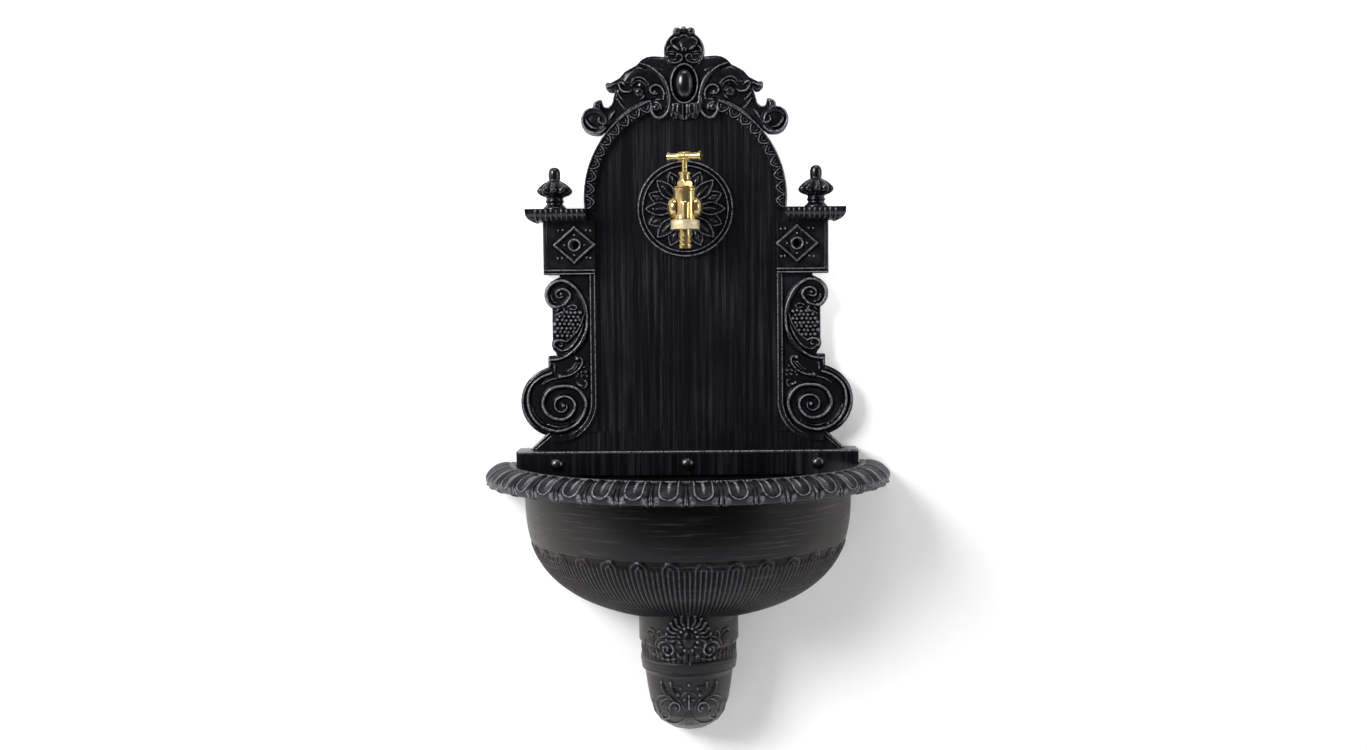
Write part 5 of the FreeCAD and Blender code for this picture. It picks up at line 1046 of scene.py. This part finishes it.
def reeds(turn, radius, height):
    """Height of the bowl's reeding over its ground, with double arches at its upper ends."""
    pitch = REED_TURN * REED_RADIUS
    across = ((turn / REED_TURN) % 1.0 - 0.5) * pitch
    up = height - REED_TOP
    sixth = pitch / 6.0
    straight = 0.5 + 0.5 * np.cos(TURN * (across / sixth - 0.5))
    reach = np.hypot(across, np.clip(up, 0, None))
    arched = (0.5 + 0.5 * np.cos(TURN * (reach / sixth - 0.5))) * np.clip((sixth * 2.05 - reach) / 1.0, 0, 1)
    beside = straight * np.clip(1 - up / 3.5, 0, 1) * (np.abs(across) > 2 * sixth)
    body = np.where(up <= 0, straight, np.maximum(arched, beside))
    fade = np.clip((radius - 34.0) / 40.0, 0, 1)
    return np.where(up < 2 * sixth, body * (0.35 + 0.65 * fade), 0.5)


def laid(piece, across, up, aside):
    """Keeps the unrolled place of every point, for paint that is brushed round the piece, and how far it lies aside,
    where the paint gets a painted sheen.
    """
    spread = np.stack(np.broadcast_arrays(across, up, aside), -1)
    layer = piece.data.attributes.new("lay", "FLOAT_VECTOR", "POINT")
    layer.data.foreach_set("vector", spread.astype(np.float32).ravel())


def basin():
    columns = 1500
    ovolo = arc_through((188.5, LIP), (206.4, -234.0), (RIM_RADIUS, -243.8), 40)
    nose = arc_through((RIM_RADIUS, -243.8), (215.2, -248.1), (211.6, RIM_END), 16)
    rim, along = evenly(np.vstack([ovolo, nose[1:]]), STEP * 1.5)
    below, _ = evenly(BOWL_LINE[:392], STEP * 2.4)
    outer = np.vstack([[(184.5, LIP)], rim, [(180.0, RIM_END)], below])
    inner = bowl(170.0, 135.3, 60)[::-1]
    inner[0, 0] = 0.6
    inner, _ = evenly(np.vstack([inner, [(184.5, RIM_TOP - 4.0)]]), 3.0)
    section = np.vstack([outer, inner])
    turn = np.linspace(0.0, math.pi, columns)
    radius, height = [np.repeat(section[:, k:k + 1], columns, 1) for k in (0, 1)]
    ridge = np.full(radius.shape, 0.42)

    def moved(rows, out, rise):
        radius[rows] += out[:, :1] * rise
        height[rows] += out[:, 1:] * rise
    rows = slice(1, 1 + len(rim))
    rise, ridge[rows] = gadroons(turn[None, :], along[:, None])
    moved(rows, outward(rim, (1, 1)), (0.9 * rise - 2.3) * (along[:, None] > 1.0))
    radius[rows] = np.minimum(radius[rows], RIM_RADIUS)
    rows = slice(2 + len(rim), len(outer))
    rise = reeds(turn[None, :], below[:, :1], below[:, 1:])
    moved(rows, outward(below, (1, 0)), 2.0 * rise - 1.6)
    ridge[rows] = 0.50 + 0.62 * (rise - 0.5)
    # seat of the drain inside
    rows = slice(len(outer), None)
    away = np.hypot(radius[rows] * np.cos(turn), radius[rows] * np.sin(turn) - DRAIN_OUT)
    height[rows] = np.where(away < 26.2, SEAT, np.where(away < 28.6, np.maximum(height[rows], SEAT), height[rows]))
    points = np.stack([radius * np.cos(turn), -radius * np.sin(turn), height], -1).reshape(-1, 3)
    piece = make("basin_look", points, [tube(len(section), columns)], ridge)
    laid(piece, turn * 0.17, height * MM, np.abs(np.cos(turn)))
    wear(closed(piece, 42), CAST_BOWL)
    piece.data.materials.append(CAST_RIM)
    middles = np.empty(3 * len(piece.data.polygons), np.float32)
    piece.data.polygons.foreach_get("center", middles)
    piece.data.polygons.foreach_set("material_index", (middles[2::3] > (RIM_END - 0.8) * MM).astype(np.int32))
    basin_wall()


def basin_wall():
    """The basin's back wall, fitted to the inside of rim and bowl."""
    plate = [(PLATE_HALF, -222.1), (PLATE_HALF, -230.0)]
    for height in np.linspace(-231.4, RIM_END, 6):
        inside = 170.8 + 14.5 * (height - BOWL_TOP) / (RIM_TOP - 4.0 - BOWL_TOP)
        plate.append((math.sqrt(min(inside, 184.9) ** 2 - PLATE_FRONT ** 2), height))
    for radius, height in bowl(172.5, 137.8, 50):
        if radius > 34.0:
            plate.append((min(math.sqrt(radius ** 2 - 32.0 ** 2), PLATE_HALF), height))
    outline = plate + [(-x, z) for x, z in plate[::-1]]
    points = [(x, -out, z) for out in (PLATE_FRONT, PLATE_BACK) for x, z in outline]
    board = make("basin_back_wall", points, [tube(2, 2 * len(plate), False, True)])
    wear(closed(board, 35, singly=True), CAST_PLAIN, replaces=("basin",))


# Corbel

# Height, radius and the distance of its centre from the wall
CORBEL_LEVELS = np.array("""
    -518.6 6.2 7.7  -516.6 11.6 12.6  -511.8 19.8 20.2  -502.7 29.1 29.8  -490.6 36.4 37.4  -477.8 41.1 42.2
    -461.9 43.7 45.1  -446 45.8 46.6  -443 47.2 47  -441 49 48  -433 50.3 48  -431 50 48  -429 49.1 48  -415 49.4 48
    -413 51 48  -411 52 48  -370 52 48""".split(), float).reshape(-1, 3)
# Radius that lengths round the corbel belong to, thickness of its wall and height of its foot
CORBEL_ROUND, WALL, CORBEL_FOOT = 52.0, 4.6, -518.55


def corbel_at(height):
    return [np.interp(height, CORBEL_LEVELS[:, 0], CORBEL_LEVELS[:, k]) for k in (1, 2)]


def seen_round(points, first=98.0):
    """Photo pixels on the corbel, as lengths round its front and heights; first is the out of the first guess."""
    spots = []
    for point in points:
        out = first
        for _ in range(12):
            across, height = seen([point], out)[0]
            radius, centre = corbel_at(height)
            across = max(min(across, 0.98 * radius), -0.98 * radius)
            out = 0.5 * (out + centre + math.sqrt(radius ** 2 - across ** 2))
        spots.append((CORBEL_ROUND * math.asin(across / radius), height))
    return spots


def corbel_ornament():
    half = Relief((0.0, 132.0), (-519.0, -368.0), STEP)

    def level(y, x=687.4):
        return seen_round([(x, y)])[0][1]
    # shell over the stone
    fan = np.array([0.0, level(642.5, 687.0)])
    for index in range(7):
        lean = math.radians(90 - index * 15.5)
        way, beside = np.array([(math.cos(lean), math.sin(lean)), (math.sin(lean), -math.cos(lean))])
        tip = fan + way * (25.5 - 0.5 * index if index else 26.5)
        start = fan + way * 13.5
        bend = 0.5 * (tip + start) + beside * (1.6 if index else 0.0)
        half.stroke(curve([start, bend, tip]), 1.75, 2.4, 0.0, (0.5, 1.0))
        half.bead(tip, 1.9, 2.8, 0.0)
    for index in range(15):
        turn = TURN * index / 14
        half.bead(fan + (9.3 * math.sin(turn), 12.7 * math.cos(turn)), 1.75, 2.4, 0.0)
    inner = np.hypot((half.x - fan[0]) / 6.0, (half.z - fan[1]) / 8.6)
    half.h = np.where(inner < 1, np.maximum(half.h, 0.6 + 2.6 * np.sqrt(np.clip(1 - inner ** 2, 0, 1))), half.h)
    half.stroke(ring(fan, 11.4, 15.2), 0.7, 0.8, 0.0)
    # scrolls beside it
    scroll = seen_round([(668.0, 652.4)])[0]
    half.stroke(spiral(scroll, 10.8, 1.6, -60, 2.0, 90), 1.25, 2.6, 0.0, (0.6, 0.8))
    half.bead(scroll, 2.0, 2.8, 0.0)
    half.stroke(arc(scroll, 13.8, -20, 130, 30), 0.9, 1.8, 0.0, (0.4, 0.4))
    # leaf curls at the ends
    curl = seen_round([(650.6, 641)])[0]
    half.bead(curl, 5.2, 2.0, 0.0)
    half.stroke(ring(curl, 5.0, 5.6, 40, 20), 0.8, 1.2, 0.8)
    for shift in (-1.6, 0.2, 2.0):
        half.stroke([(curl[0] + shift - 1.2, curl[1] - 2.2), (curl[0] + shift + 0.8, curl[1] + 2.4)], 0.55, 1.2, 1.4)
    carve(half, """
    # tip of the scroll and leaves at the ends
    line 98 1 2 0 0.5 0.5  661.5 646 658 637.5 660.4 633.6 662.8 636.6
    line 98 0.9 2 0 0.5 0.5  647.6 636.6 650 631.6 654 633.6 655.4 638.4
    line 98 0.9 1.8 0 0.5 0.5  653.6 646.6 656 652.4 660.4 658
    line 98 0.8 1.4 0 0.5 0.5  645.6 640.4 645.4 646 650.4 654 657.4 659.4
    # garland under the stone and the edge of the collar
    line 98 0.9 1.8 0 0.5 0.5  657.4 659 666 662.6 674 662.6 680 659.4
    line 98 0.9 2 0 0.5 0.5  675 652 678.6 658.4 687 661.2
    line 98 0.9 1.8 0 0.5 0.5  676.6 656.4 681 661.4 687 663.6
    line 98 1 1.2 0.2 1 1  644 661.8 655 664.8 670 667.2 687.4 668
    """, seen_round)
    # flutes of the neck
    for spot in 6.6 * np.arange(14):
        half.groove([(spot, -416.0), (spot, -427.0)], 1.7, 1.1)
        half.stroke([(spot + 3.3, -415.5), (spot + 3.3, -424.0)], 0.8, 0.8, 0.0, (0.8, 0.4))
    half.stroke([(0.0, -430.8), (118.0, -430.8)], 1.0, 0.7, 0.0)
    half.stroke([(0.0, -441.6), (118.0, -441.6)], 0.8, 0.6, 0.0)
    # plumes, crown and leaf of the tail
    for x, y in ((662.4, 686.0), (671.4, 686.6)):
        root, tip = seen_round([(x + 6.0, y + 15.0), (x, y)])
        plume = curve([root, (0.5 * (root[0] + tip[0]) + 1.6, 0.5 * (root[1] + tip[1])), tip])
        half.leaf(plume, 3.4, 2.2, 0.0, 0.8, 4)
        half.stroke(plume, 0.6, 2.8, 0.0)
        half.bead(tip, 1.9, 2.4, 0.0)
    half.bead((0.0, level(688.8)), 1.9, 2.8, 0.0)
    half.stroke([(0.0, level(700.0)), (0.0, level(714.0))], 1.5, 2.6, 0.0, (0.8, 0.6))
    carve(half, """
    ball 98 1.5 2.6 0  681 692.6
    ball 98 2.4 3 0  678.6 698.8
    line 98 0.9 1.8 0 0.5 0.5  676 701.5 681 706.6 684.6 714
    line 98 0.8 1.8 0 0.5 0.8  682.4 700.4 684.6 697.6 687.4 696.6
    line 98 0.8 2 0 0.5 0.5  683 705 687.4 703.4
    line 98 1 2 0 0.5 0.5  675.6 708 670 700.6 662.4 699.4 657.4 702
    line 98 1.2 2.6 0 0.5 0.5  671.6 716.6 670.6 710.4 674.6 706.4 679.6 708.6 680.6 713.6 677.2 716.4
    ball 98 2.2 2.6 0  677 712.6
    line 98 1 2 0 0.5 0.5  661 712 662.4 706 668 702.6 674 703.6
    line 98 1.1 2.2 0 0.5 0.5  657.4 706 660 715 664.4 722 671.4 727.4 680 727.6 686.8 722.6
    line 98 1 1.8 0 0.5 0.5  653 703 656 715 661.6 725 670.4 732 679 733.6
    line 98 1.1 2.4 0 0.5 0.5  664.4 713.4 662.6 718 665 723 669.6 722.4 670.4 718 667.4 715.6
    line 98 0.6 0.9 0 0.3 0.3  684 692 676 690.6 668 694.6
    line 98 0.6 0.9 0 0.3 0.3  680 691 673 690.6 666 695.6
    line 98 0.6 0.9 0 0.3 0.3  676 690 670 690.6 664 696.6
    """, seen_round)
    top, tip = level(718.6), -517.5
    half.leaf([(0.0, top + 2.0), (0.0, tip)], 9.0, 1.6, 0.0)
    for fan_out in (0.0, 2.6, 5.4, 8.6):
        half.stroke(curve([(0.3 * fan_out, top), (fan_out, 0.6 * top + 0.4 * tip),
                           (0.45 * fan_out, 0.1 * top + 0.9 * tip)]), 0.85, 1.2, 1.0, (0.4, 0.5))
    half.h = blurred(half.h, 1)
    return doubled(half)


def sampled(relief, x, z, field):
    """A field of the relief at other places."""
    i = np.clip((x - relief.xs[0]) / relief.step, 0, len(relief.xs) - 1.001)
    j = np.clip((z - relief.zs[0]) / relief.step, 0, len(relief.zs) - 1.001)
    a, b = i.astype(int), j.astype(int)
    u, v = i - a, j - b
    return (field[b, a] * (1 - u) * (1 - v) + field[b, a + 1] * u * (1 - v)
            + field[b + 1, a] * (1 - u) * v + field[b + 1, a + 1] * u * v)


def corbel():
    ornament = corbel_ornament()
    round_half, straight = QUARTER * CORBEL_ROUND, 48.0
    reach = round_half + straight
    rows, columns = [int(length / (STEP * 1.25)) for length in (150.0, 2 * reach)]
    s = np.linspace(-reach, reach, columns)[None, :]
    turn = np.clip(s / CORBEL_ROUND, -QUARTER, QUARTER)
    side = np.clip((np.abs(s) - round_half) / straight, 0, 1)

    def skin(share, grow, relief=None):
        """Places at shares of the way down from the bowl, grown off the levels."""
        height = np.full((len(share), columns), -390.0)
        for _ in range(6):
            radius, centre = corbel_at(height)
            radius = radius + grow
            if relief is not None:
                radius = radius + sampled(relief, np.broadcast_to(s, height.shape), height, relief.h)
            x = radius * np.sin(turn)
            out = centre * (1 - side) + radius * np.cos(turn) * (np.abs(s) <= round_half)
            top = bowl_height(np.hypot(x, out).clip(0, 174.0)) + 1.6
            height = top * (1 - share) + CORBEL_FOOT * share
        return x, out, height
    outer = skin(np.linspace(0.0, 1.0, rows)[:, None], 0.0, ornament)
    inner = skin(np.linspace(0.965, 0.0, 24)[:, None], -WALL)
    points = np.vstack([np.stack([x, -out, height], -1) for x, out, height in (outer, inner)])
    height = points[:rows, :, 2]
    shade = sampled(ornament, np.broadcast_to(s, height.shape), height, ridges(ornament, 2.0))
    ridge = np.vstack([shade, np.full(inner[0].shape, 0.4)])
    piece = make("corbel_look", points.reshape(-1, 3), [tube(len(points), columns)], ridge)
    laid(piece, s * MM, points[..., 2] * MM, np.abs(points[..., 0]) / CORBEL_ROUND)
    wear(closed(piece, 48, singly=True), CAST_CORBEL, replaces=("corbel",))


# Bolts and tap

BOLTS_ACROSS, BOLTS_UP = (-137.0, 0.0, 137.0), -230.4


def thread(first, pitch, count, start, other, after):
    """Outline of a thread: one radius at the start of every turn, and the other a little after it."""
    return [place for base in first + pitch * np.arange(count) for place in ((start, base), (other, base + after))]


def dome_heads():
    """Domed heads and shanks of the three bolts on the strip."""
    head = pairs("0 31 4 31 4 39 6.1 40.02 6.75 40.5 6.7 41.6 6.1 43 4.9 44.4 3.2 45.2 1.4 45.46 0 45.5")
    shank = pairs("0 16.9 3.4 16.9 4 17.5") + thread(17.6, 1.0, 14, 4.0, 3.55, 0.5) + pairs("4 31.6 0 31.6")
    for number, across in enumerate(BOLTS_ACROSS):
        for stem, section, count, sharp in (("bolt_head_", head, 40, 60), ("bolt_shank_", shank, 28, 25)):
            piece = turned(stem + str(number), section, count, (across, 0, BOLTS_UP), "y", sharp=sharp)
            wear(piece, BOLT, slot="black_bolts", replaces=("basin_bolts",) if piece.name == "bolt_head_0" else ())


def united(name, pieces, sharp):
    """One cast body out of closed pieces that run into each other."""
    whole = pieces[0]
    whole.name = whole.data.name = name
    for other in pieces[1:]:
        union = whole.modifiers.new("union", "BOOLEAN")
        union.operation = "UNION"
        union.solver = "EXACT"
        union.object = other
    graph = bpy.context.evaluated_depsgraph_get()
    mesh = bpy.data.meshes.new_from_object(whole.evaluated_get(graph))
    whole.modifiers.clear()
    whole.data = mesh
    for other in pieces[1:]:
        bpy.data.objects.remove(other)
    smoothed(mesh, sharp)
    mesh.update()
    return whole


# Distance of the tap's axis from the wall, its foot and its inlet
TAP_OUT = 65.0
TAP = (0, -TAP_OUT, 0)
INLET = (0, 0, 37.3)


def brass(piece, node, body="fountain", material=BRASS):
    wear(piece, material, body, "brass", [node] if node else [])


def tap_body():
    barrel = turned("barrel", pairs(
        "0 22.8 12.8 22.8 12.8 24.2 12.1 24.6 11.7 26 11.9 30 12 36 11.9 42 11.7 50 11.9 52.4 12.6 53 12.6 55 0 "
        "55.2"), 96, TAP, sharp=30)
    turn = np.linspace(0.0, QUARTER, 22)
    dome = np.stack([10.9 * np.sin(turn), 11.2 + 7.0 * np.cos(turn)], 1)
    disc = np.vstack([[(0, 9.6), (10.9, 9.6)], dome[::-1]])
    cheeks = [turned("cheek", disc * (1, way), 96, (0, -TAP_OUT, 36.0), "x", sharp=40) for way in (1, -1)]
    inlet = turned("inlet", pairs("0 24 9.9 24 9.9 60 0 60"), 56, INLET, "y")
    cap = np.stack([5.3 * np.cos(turn), 38.5 + 5.3 * np.sin(turn)], 1)
    cap[-1, 0] = 0.0
    boss = turned("boss", np.vstack([[(0, 24.2), (5.3, 24.2)], cap]), 56, (0, -TAP_OUT - 7.8, 0), sharp=60)
    brass(united("tap_body_look", [barrel] + cheeks + [inlet, boss], 34), "tap_body")
    section = (pairs("0 -12 9.7 -12 10 -11.7 10 3 10.3 3.4") + thread(3.6, 1.8, 9, 9.9, 10.45, 0.9)
               + pairs("10.45 20.2 10.45 21 14 21.05 14.5 21.5 14.5 23.5 14 24 11 24.2 9.95 26 9.9 31 0 31"))
    brass(turned("tap_flange_look", section, 64, INLET, "y", sharp=28), None)


FLATS = 15.0


def bonnet():
    def hexagon(radius, height, angle):
        """Presses the form flat on six sides between two heights."""
        sixth = TURN / 6.0
        flat = 0.5 * FLATS / np.cos((angle + 0.5 * sixth) % sixth - 0.5 * sixth)
        return np.where((height >= 57.7) & (height <= 62.45), np.minimum(radius, flat), radius)
    section = pairs(
        "0 50 4.6 50 8.4 50.1 8.4 55.8 11 55.82 11.5 56.2 11.5 57 11 57.45 8 57.6 8.6 57.9 8.66 58.4 8.66 61.7 "
        "8.2 62.3 6.6 62.5 6.4 63 6.2 64 4.6 64.4 4.4 66.6 3 66.8 0 66.8")
    brass(turned("bonnet_look", section, 96, TAP, wobble=hexagon, sharp=20), "tap_bonnet")
    section = pairs("2.95 64.55 5.1 64.55 5.4 64.9 5.4 69.5 6.3 69.7 6.5 70 6.5 71.4 6.2 71.8 5.6 72 2.95 72")
    brass(turned("gland_look", section, 60, TAP, sharp=30), "gland_nut")


def spindle():
    section = (pairs("0 42.2 3.9 42.2 4.35 42.7") + thread(43.0, 1.8, 6, 4.35, 3.7, 0.9)
               + pairs("4.35 53.9 2.8 54 2.8 86 2.3 86.6 0 86.6"))
    brass(turned("spindle_look", section, 40, TAP, sharp=28), "tap_spindle", "spindle")


def knurled(count, slant, deep, low, high, least=0.0):
    """Crossed grooves pressed into a turned form between two heights, outside a least radius."""
    def pressed(radius, height, angle):
        within = (radius > least) & (height > low) & (height < high)
        pattern = np.abs(np.sin(count * angle + slant * height)) * np.abs(np.sin(count * angle - slant * height))
        return np.where(within, radius - deep * (1 - pattern), radius)
    return pressed


def handle():
    bar = pairs("4.6 6.2 3.7 6.3 3.7 15.3 4 15.6 4.6 15.9 4.9 16.3 4.9 17.7 4.5 18 0 18")
    section = [(r, -z) for r, z in bar[::-1]] + [(4.9, z) for z in np.linspace(-5.9, 5.9, 60)] + bar
    piece = turned("handle_look", section, 112, (0, -TAP_OUT, 88.2), "x", 35, knurled(14, 5.2, 0.45, -6.0, 6.0))
    axis = Matrix.Translation((0, -TAP_OUT * MM, 0))
    piece.data.transform(axis @ Matrix.Rotation(math.radians(-20.0), 4, "Z") @ axis.inverted())
    brass(piece, "tap_handle", "spindle")


def union():
    section = (pairs("6.4 13.4 14.2 13.4 14.9 13.9") + [(14.9, z) for z in np.linspace(14.2, 22.4, 26)]
               + pairs("14.9 22.7 14.3 23.2 13.05 23.2 13.05 15.2 6.4 15.2"))
    piece = turned("union_look", section, 288, TAP, sharp=35, wobble=knurled(36, 2.4, 0.4, 14.0, 22.6, 14.8))
    brass(piece, "union_nut", "union", BRASS_ROUGH)
    tail = pairs(
        "4.4 -6 5.9 -6 6.5 -5.6 7 -2.6 6.95 -1.9 5.7 -1.6 5.7 -1.2 7 1.8 6.95 2.5 5.7 2.8 5.7 3.2 7 6.2 6.95 6.9 "
        "6 7.3 6 15.3 12.5 15.3 12.6 16.8 4.4 16.8")
    brass(turned("hose_tail_look", tail, 64, TAP, sharp=30), "hose_tail", "tail")


# Materials of the pieces that are kept as they are

def keep_material(names, material):
    for name in names:
        item = bpy.data.objects.get(name)
        if item is not None:
            item.data.materials.clear()
            item.data.materials.append(material)


crest()
arch_leaves()
for side in (-1, 1):
    finial(side)
    shelf_leaves(side)
    pier_face(side)
    pier_side(side)
    console(side)
    foot_moulding(side)
rosette()
ledge_edge()
basin()
corbel()
dome_heads()
tap_body()
bonnet()
spindle()
handle()
union()
keep_material(["back_panel"], CAST_UPRIGHT)
keep_material(["crest_screws", "finial_studs", "basin_washers", "basin_nuts"], STEEL)
keep_material(["drain_strainer", "drain_locknut", "tap_backnut", "valve_jumper"], BRASS)
keep_material(["drain_gasket", "valve_washer", "hose_tail_washer"], RUBBER)
keep_material(["drain_washer", "tap_inlet_washer", "bonnet_gasket", "gland_packing"], FIBRE)


# Wall and floor behind the piece, lamps, room and camera

def stage_material():
    """White plaster with painted shade behind the two wall holes and, for the camera, a glow that grows upwards as
    painted light, which washes out cast shadows near the top. Shadows and the view from behind pass through it.
    """
    material, tree, surface = shader("white_plaster")
    place = add(tree, "NewGeometry")
    path = add(tree, "LightPath")
    through = reckoned(tree, "MAXIMUM", place.outputs["Backfacing"], path.outputs["Is Shadow Ray"])
    parts = add(tree, "SeparateXYZ", {"Vector": place.outputs["Position"]})
    # painted light: for the camera the wall glows more the higher it is
    rising = reckoned(tree, "POWER", scaled(tree, parts.outputs["Z"], (-0.50, 0.0)), 3.0)
    level = reckoned(tree, "MULTIPLY_ADD", rising, 0.75, 0.10)
    spot = add(tree, "CombineXYZ", {"X": reckoned(tree, "ABSOLUTE", parts.outputs["X"]), "Z": parts.outputs["Z"]})
    away = add(tree, "VectorMath", {0: spot.outputs[0], 1: (DIAMOND * MM, 0.0, 0.0)}, operation="DISTANCE")
    # painted shade: a dark disc on the wall behind each wall hole
    clear_of_hole_shade = ramp(tree, away.outputs["Value"], 0.0075, 0.0085)
    feed(tree, surface, {
        "Base Color": mixed(tree, clear_of_hole_shade, (0.006, 0.005, 0.004, 1.0), (0.86, 0.86, 0.865, 1.0)),
        "Roughness": 0.9, "Emission Color": (1.0, 1.0, 1.0, 1.0),
        "Emission Strength": times(tree, times(tree, path.outputs["Is Camera Ray"], clear_of_hole_shade), level)})
    clear = add(tree, "BsdfTransparent").outputs["BSDF"]
    choose = add(tree, "MixShader", {"Fac": through, 1: surface.outputs["BSDF"], 2: clear})
    feed(tree, tree.nodes["Material Output"], {"Surface": choose.outputs["Shader"]})
    return material


def stage_wall():
    """A white wall that curves out into a pale floor below the piece."""
    turn = np.linspace(0, QUARTER, 24)
    bend = np.stack([1.0 - 400.0 * (1 - np.cos(turn)), -460.0 - 400.0 * np.sin(turn)], 1)
    line = [(1.0, 2600.0), *bend, (-1150.0, -860.0)]
    points = [(x, y, z) for x in (-5000.0, 5000.0) for y, z in line]
    piece = make("studio_wall", points, [tube(2, len(line), False)])
    piece.data.materials.append(stage_material())


def lamp(name, spot, target, energy, size):
    data = bpy.data.lights.new(name, "AREA")
    data.energy = energy
    data.shape = "RECTANGLE"
    data.size, data.size_y = size
    item = bpy.data.objects.new(name, data)
    bpy.context.scene.collection.objects.link(item)
    item.location = spot
    item.rotation_euler = (Vector(target) - Vector(spot)).to_track_quat("-Z", "Y").to_euler()


stage_wall()
lamp("key", (-1.9, -2.1, 1.2), (0, 0, -0.15), 100.0, (1.2, 1.2))
lamp("top", (0.1, -1.0, 2.4), (0, 0, -0.1), 18.0, (1.6, 0.35))
lamp("side", (2.3, -1.2, 0.5), (0, 0, -0.1), 11.0, (0.2, 1.4))
lamp("rear", (0.5, 2.6, 0.6), (0, 0, -0.1), 60.0, (2.4, 2.0))

world = bpy.data.worlds.new("white_room")
bpy.context.scene.world = world
world.use_nodes = True
room = world.node_tree
toward = add(room, "SeparateXYZ", {"Vector": add(room, "TexCoord").outputs["Generated"]})
glow = times(room, ramp(room, toward.outputs["Y"], -0.80, -0.35),
             scaled(room, toward.outputs["Z"], (0.25, 0.80), (1.0, 0.22)))
camera_ray = add(room, "LightPath").outputs["Is Camera Ray"]
choice = add(room, "Mix", {0: camera_ray, 2: scaled(room, glow, end=(0.07, 0.75)), 3: 1.0})
feed(room, room.nodes["Background"], {"Color": (1.0, 1.0, 1.0, 1.0), "Strength": choice.outputs[0]})
bpy.context.scene.view_settings.view_transform = "Standard"

camera_data = bpy.data.cameras.new("photo_view")
camera = bpy.data.objects.new("photo_view", camera_data)
bpy.context.scene.collection.objects.link(camera)
bpy.context.scene.camera = camera
camera_data.sensor_width = 36.0
camera_data.lens = 36.0 * FOCUS / PHOTO_WIDE
camera.location = (EYE_ACROSS * MM, -EYE_AWAY * MM, EYE_UP * MM)
camera.rotation_mode = "XYZ"
pitch = QUARTER - math.atan((PHOTO_HIGH / 2 - HORIZON) / FOCUS)
lean = Matrix.Rotation(math.radians(0.6), 3, "Z") @ Matrix.Rotation(pitch, 3, "X")
camera.rotation_euler = (lean @ Matrix.Rotation(math.radians(-0.5), 3, "Z")).to_euler()
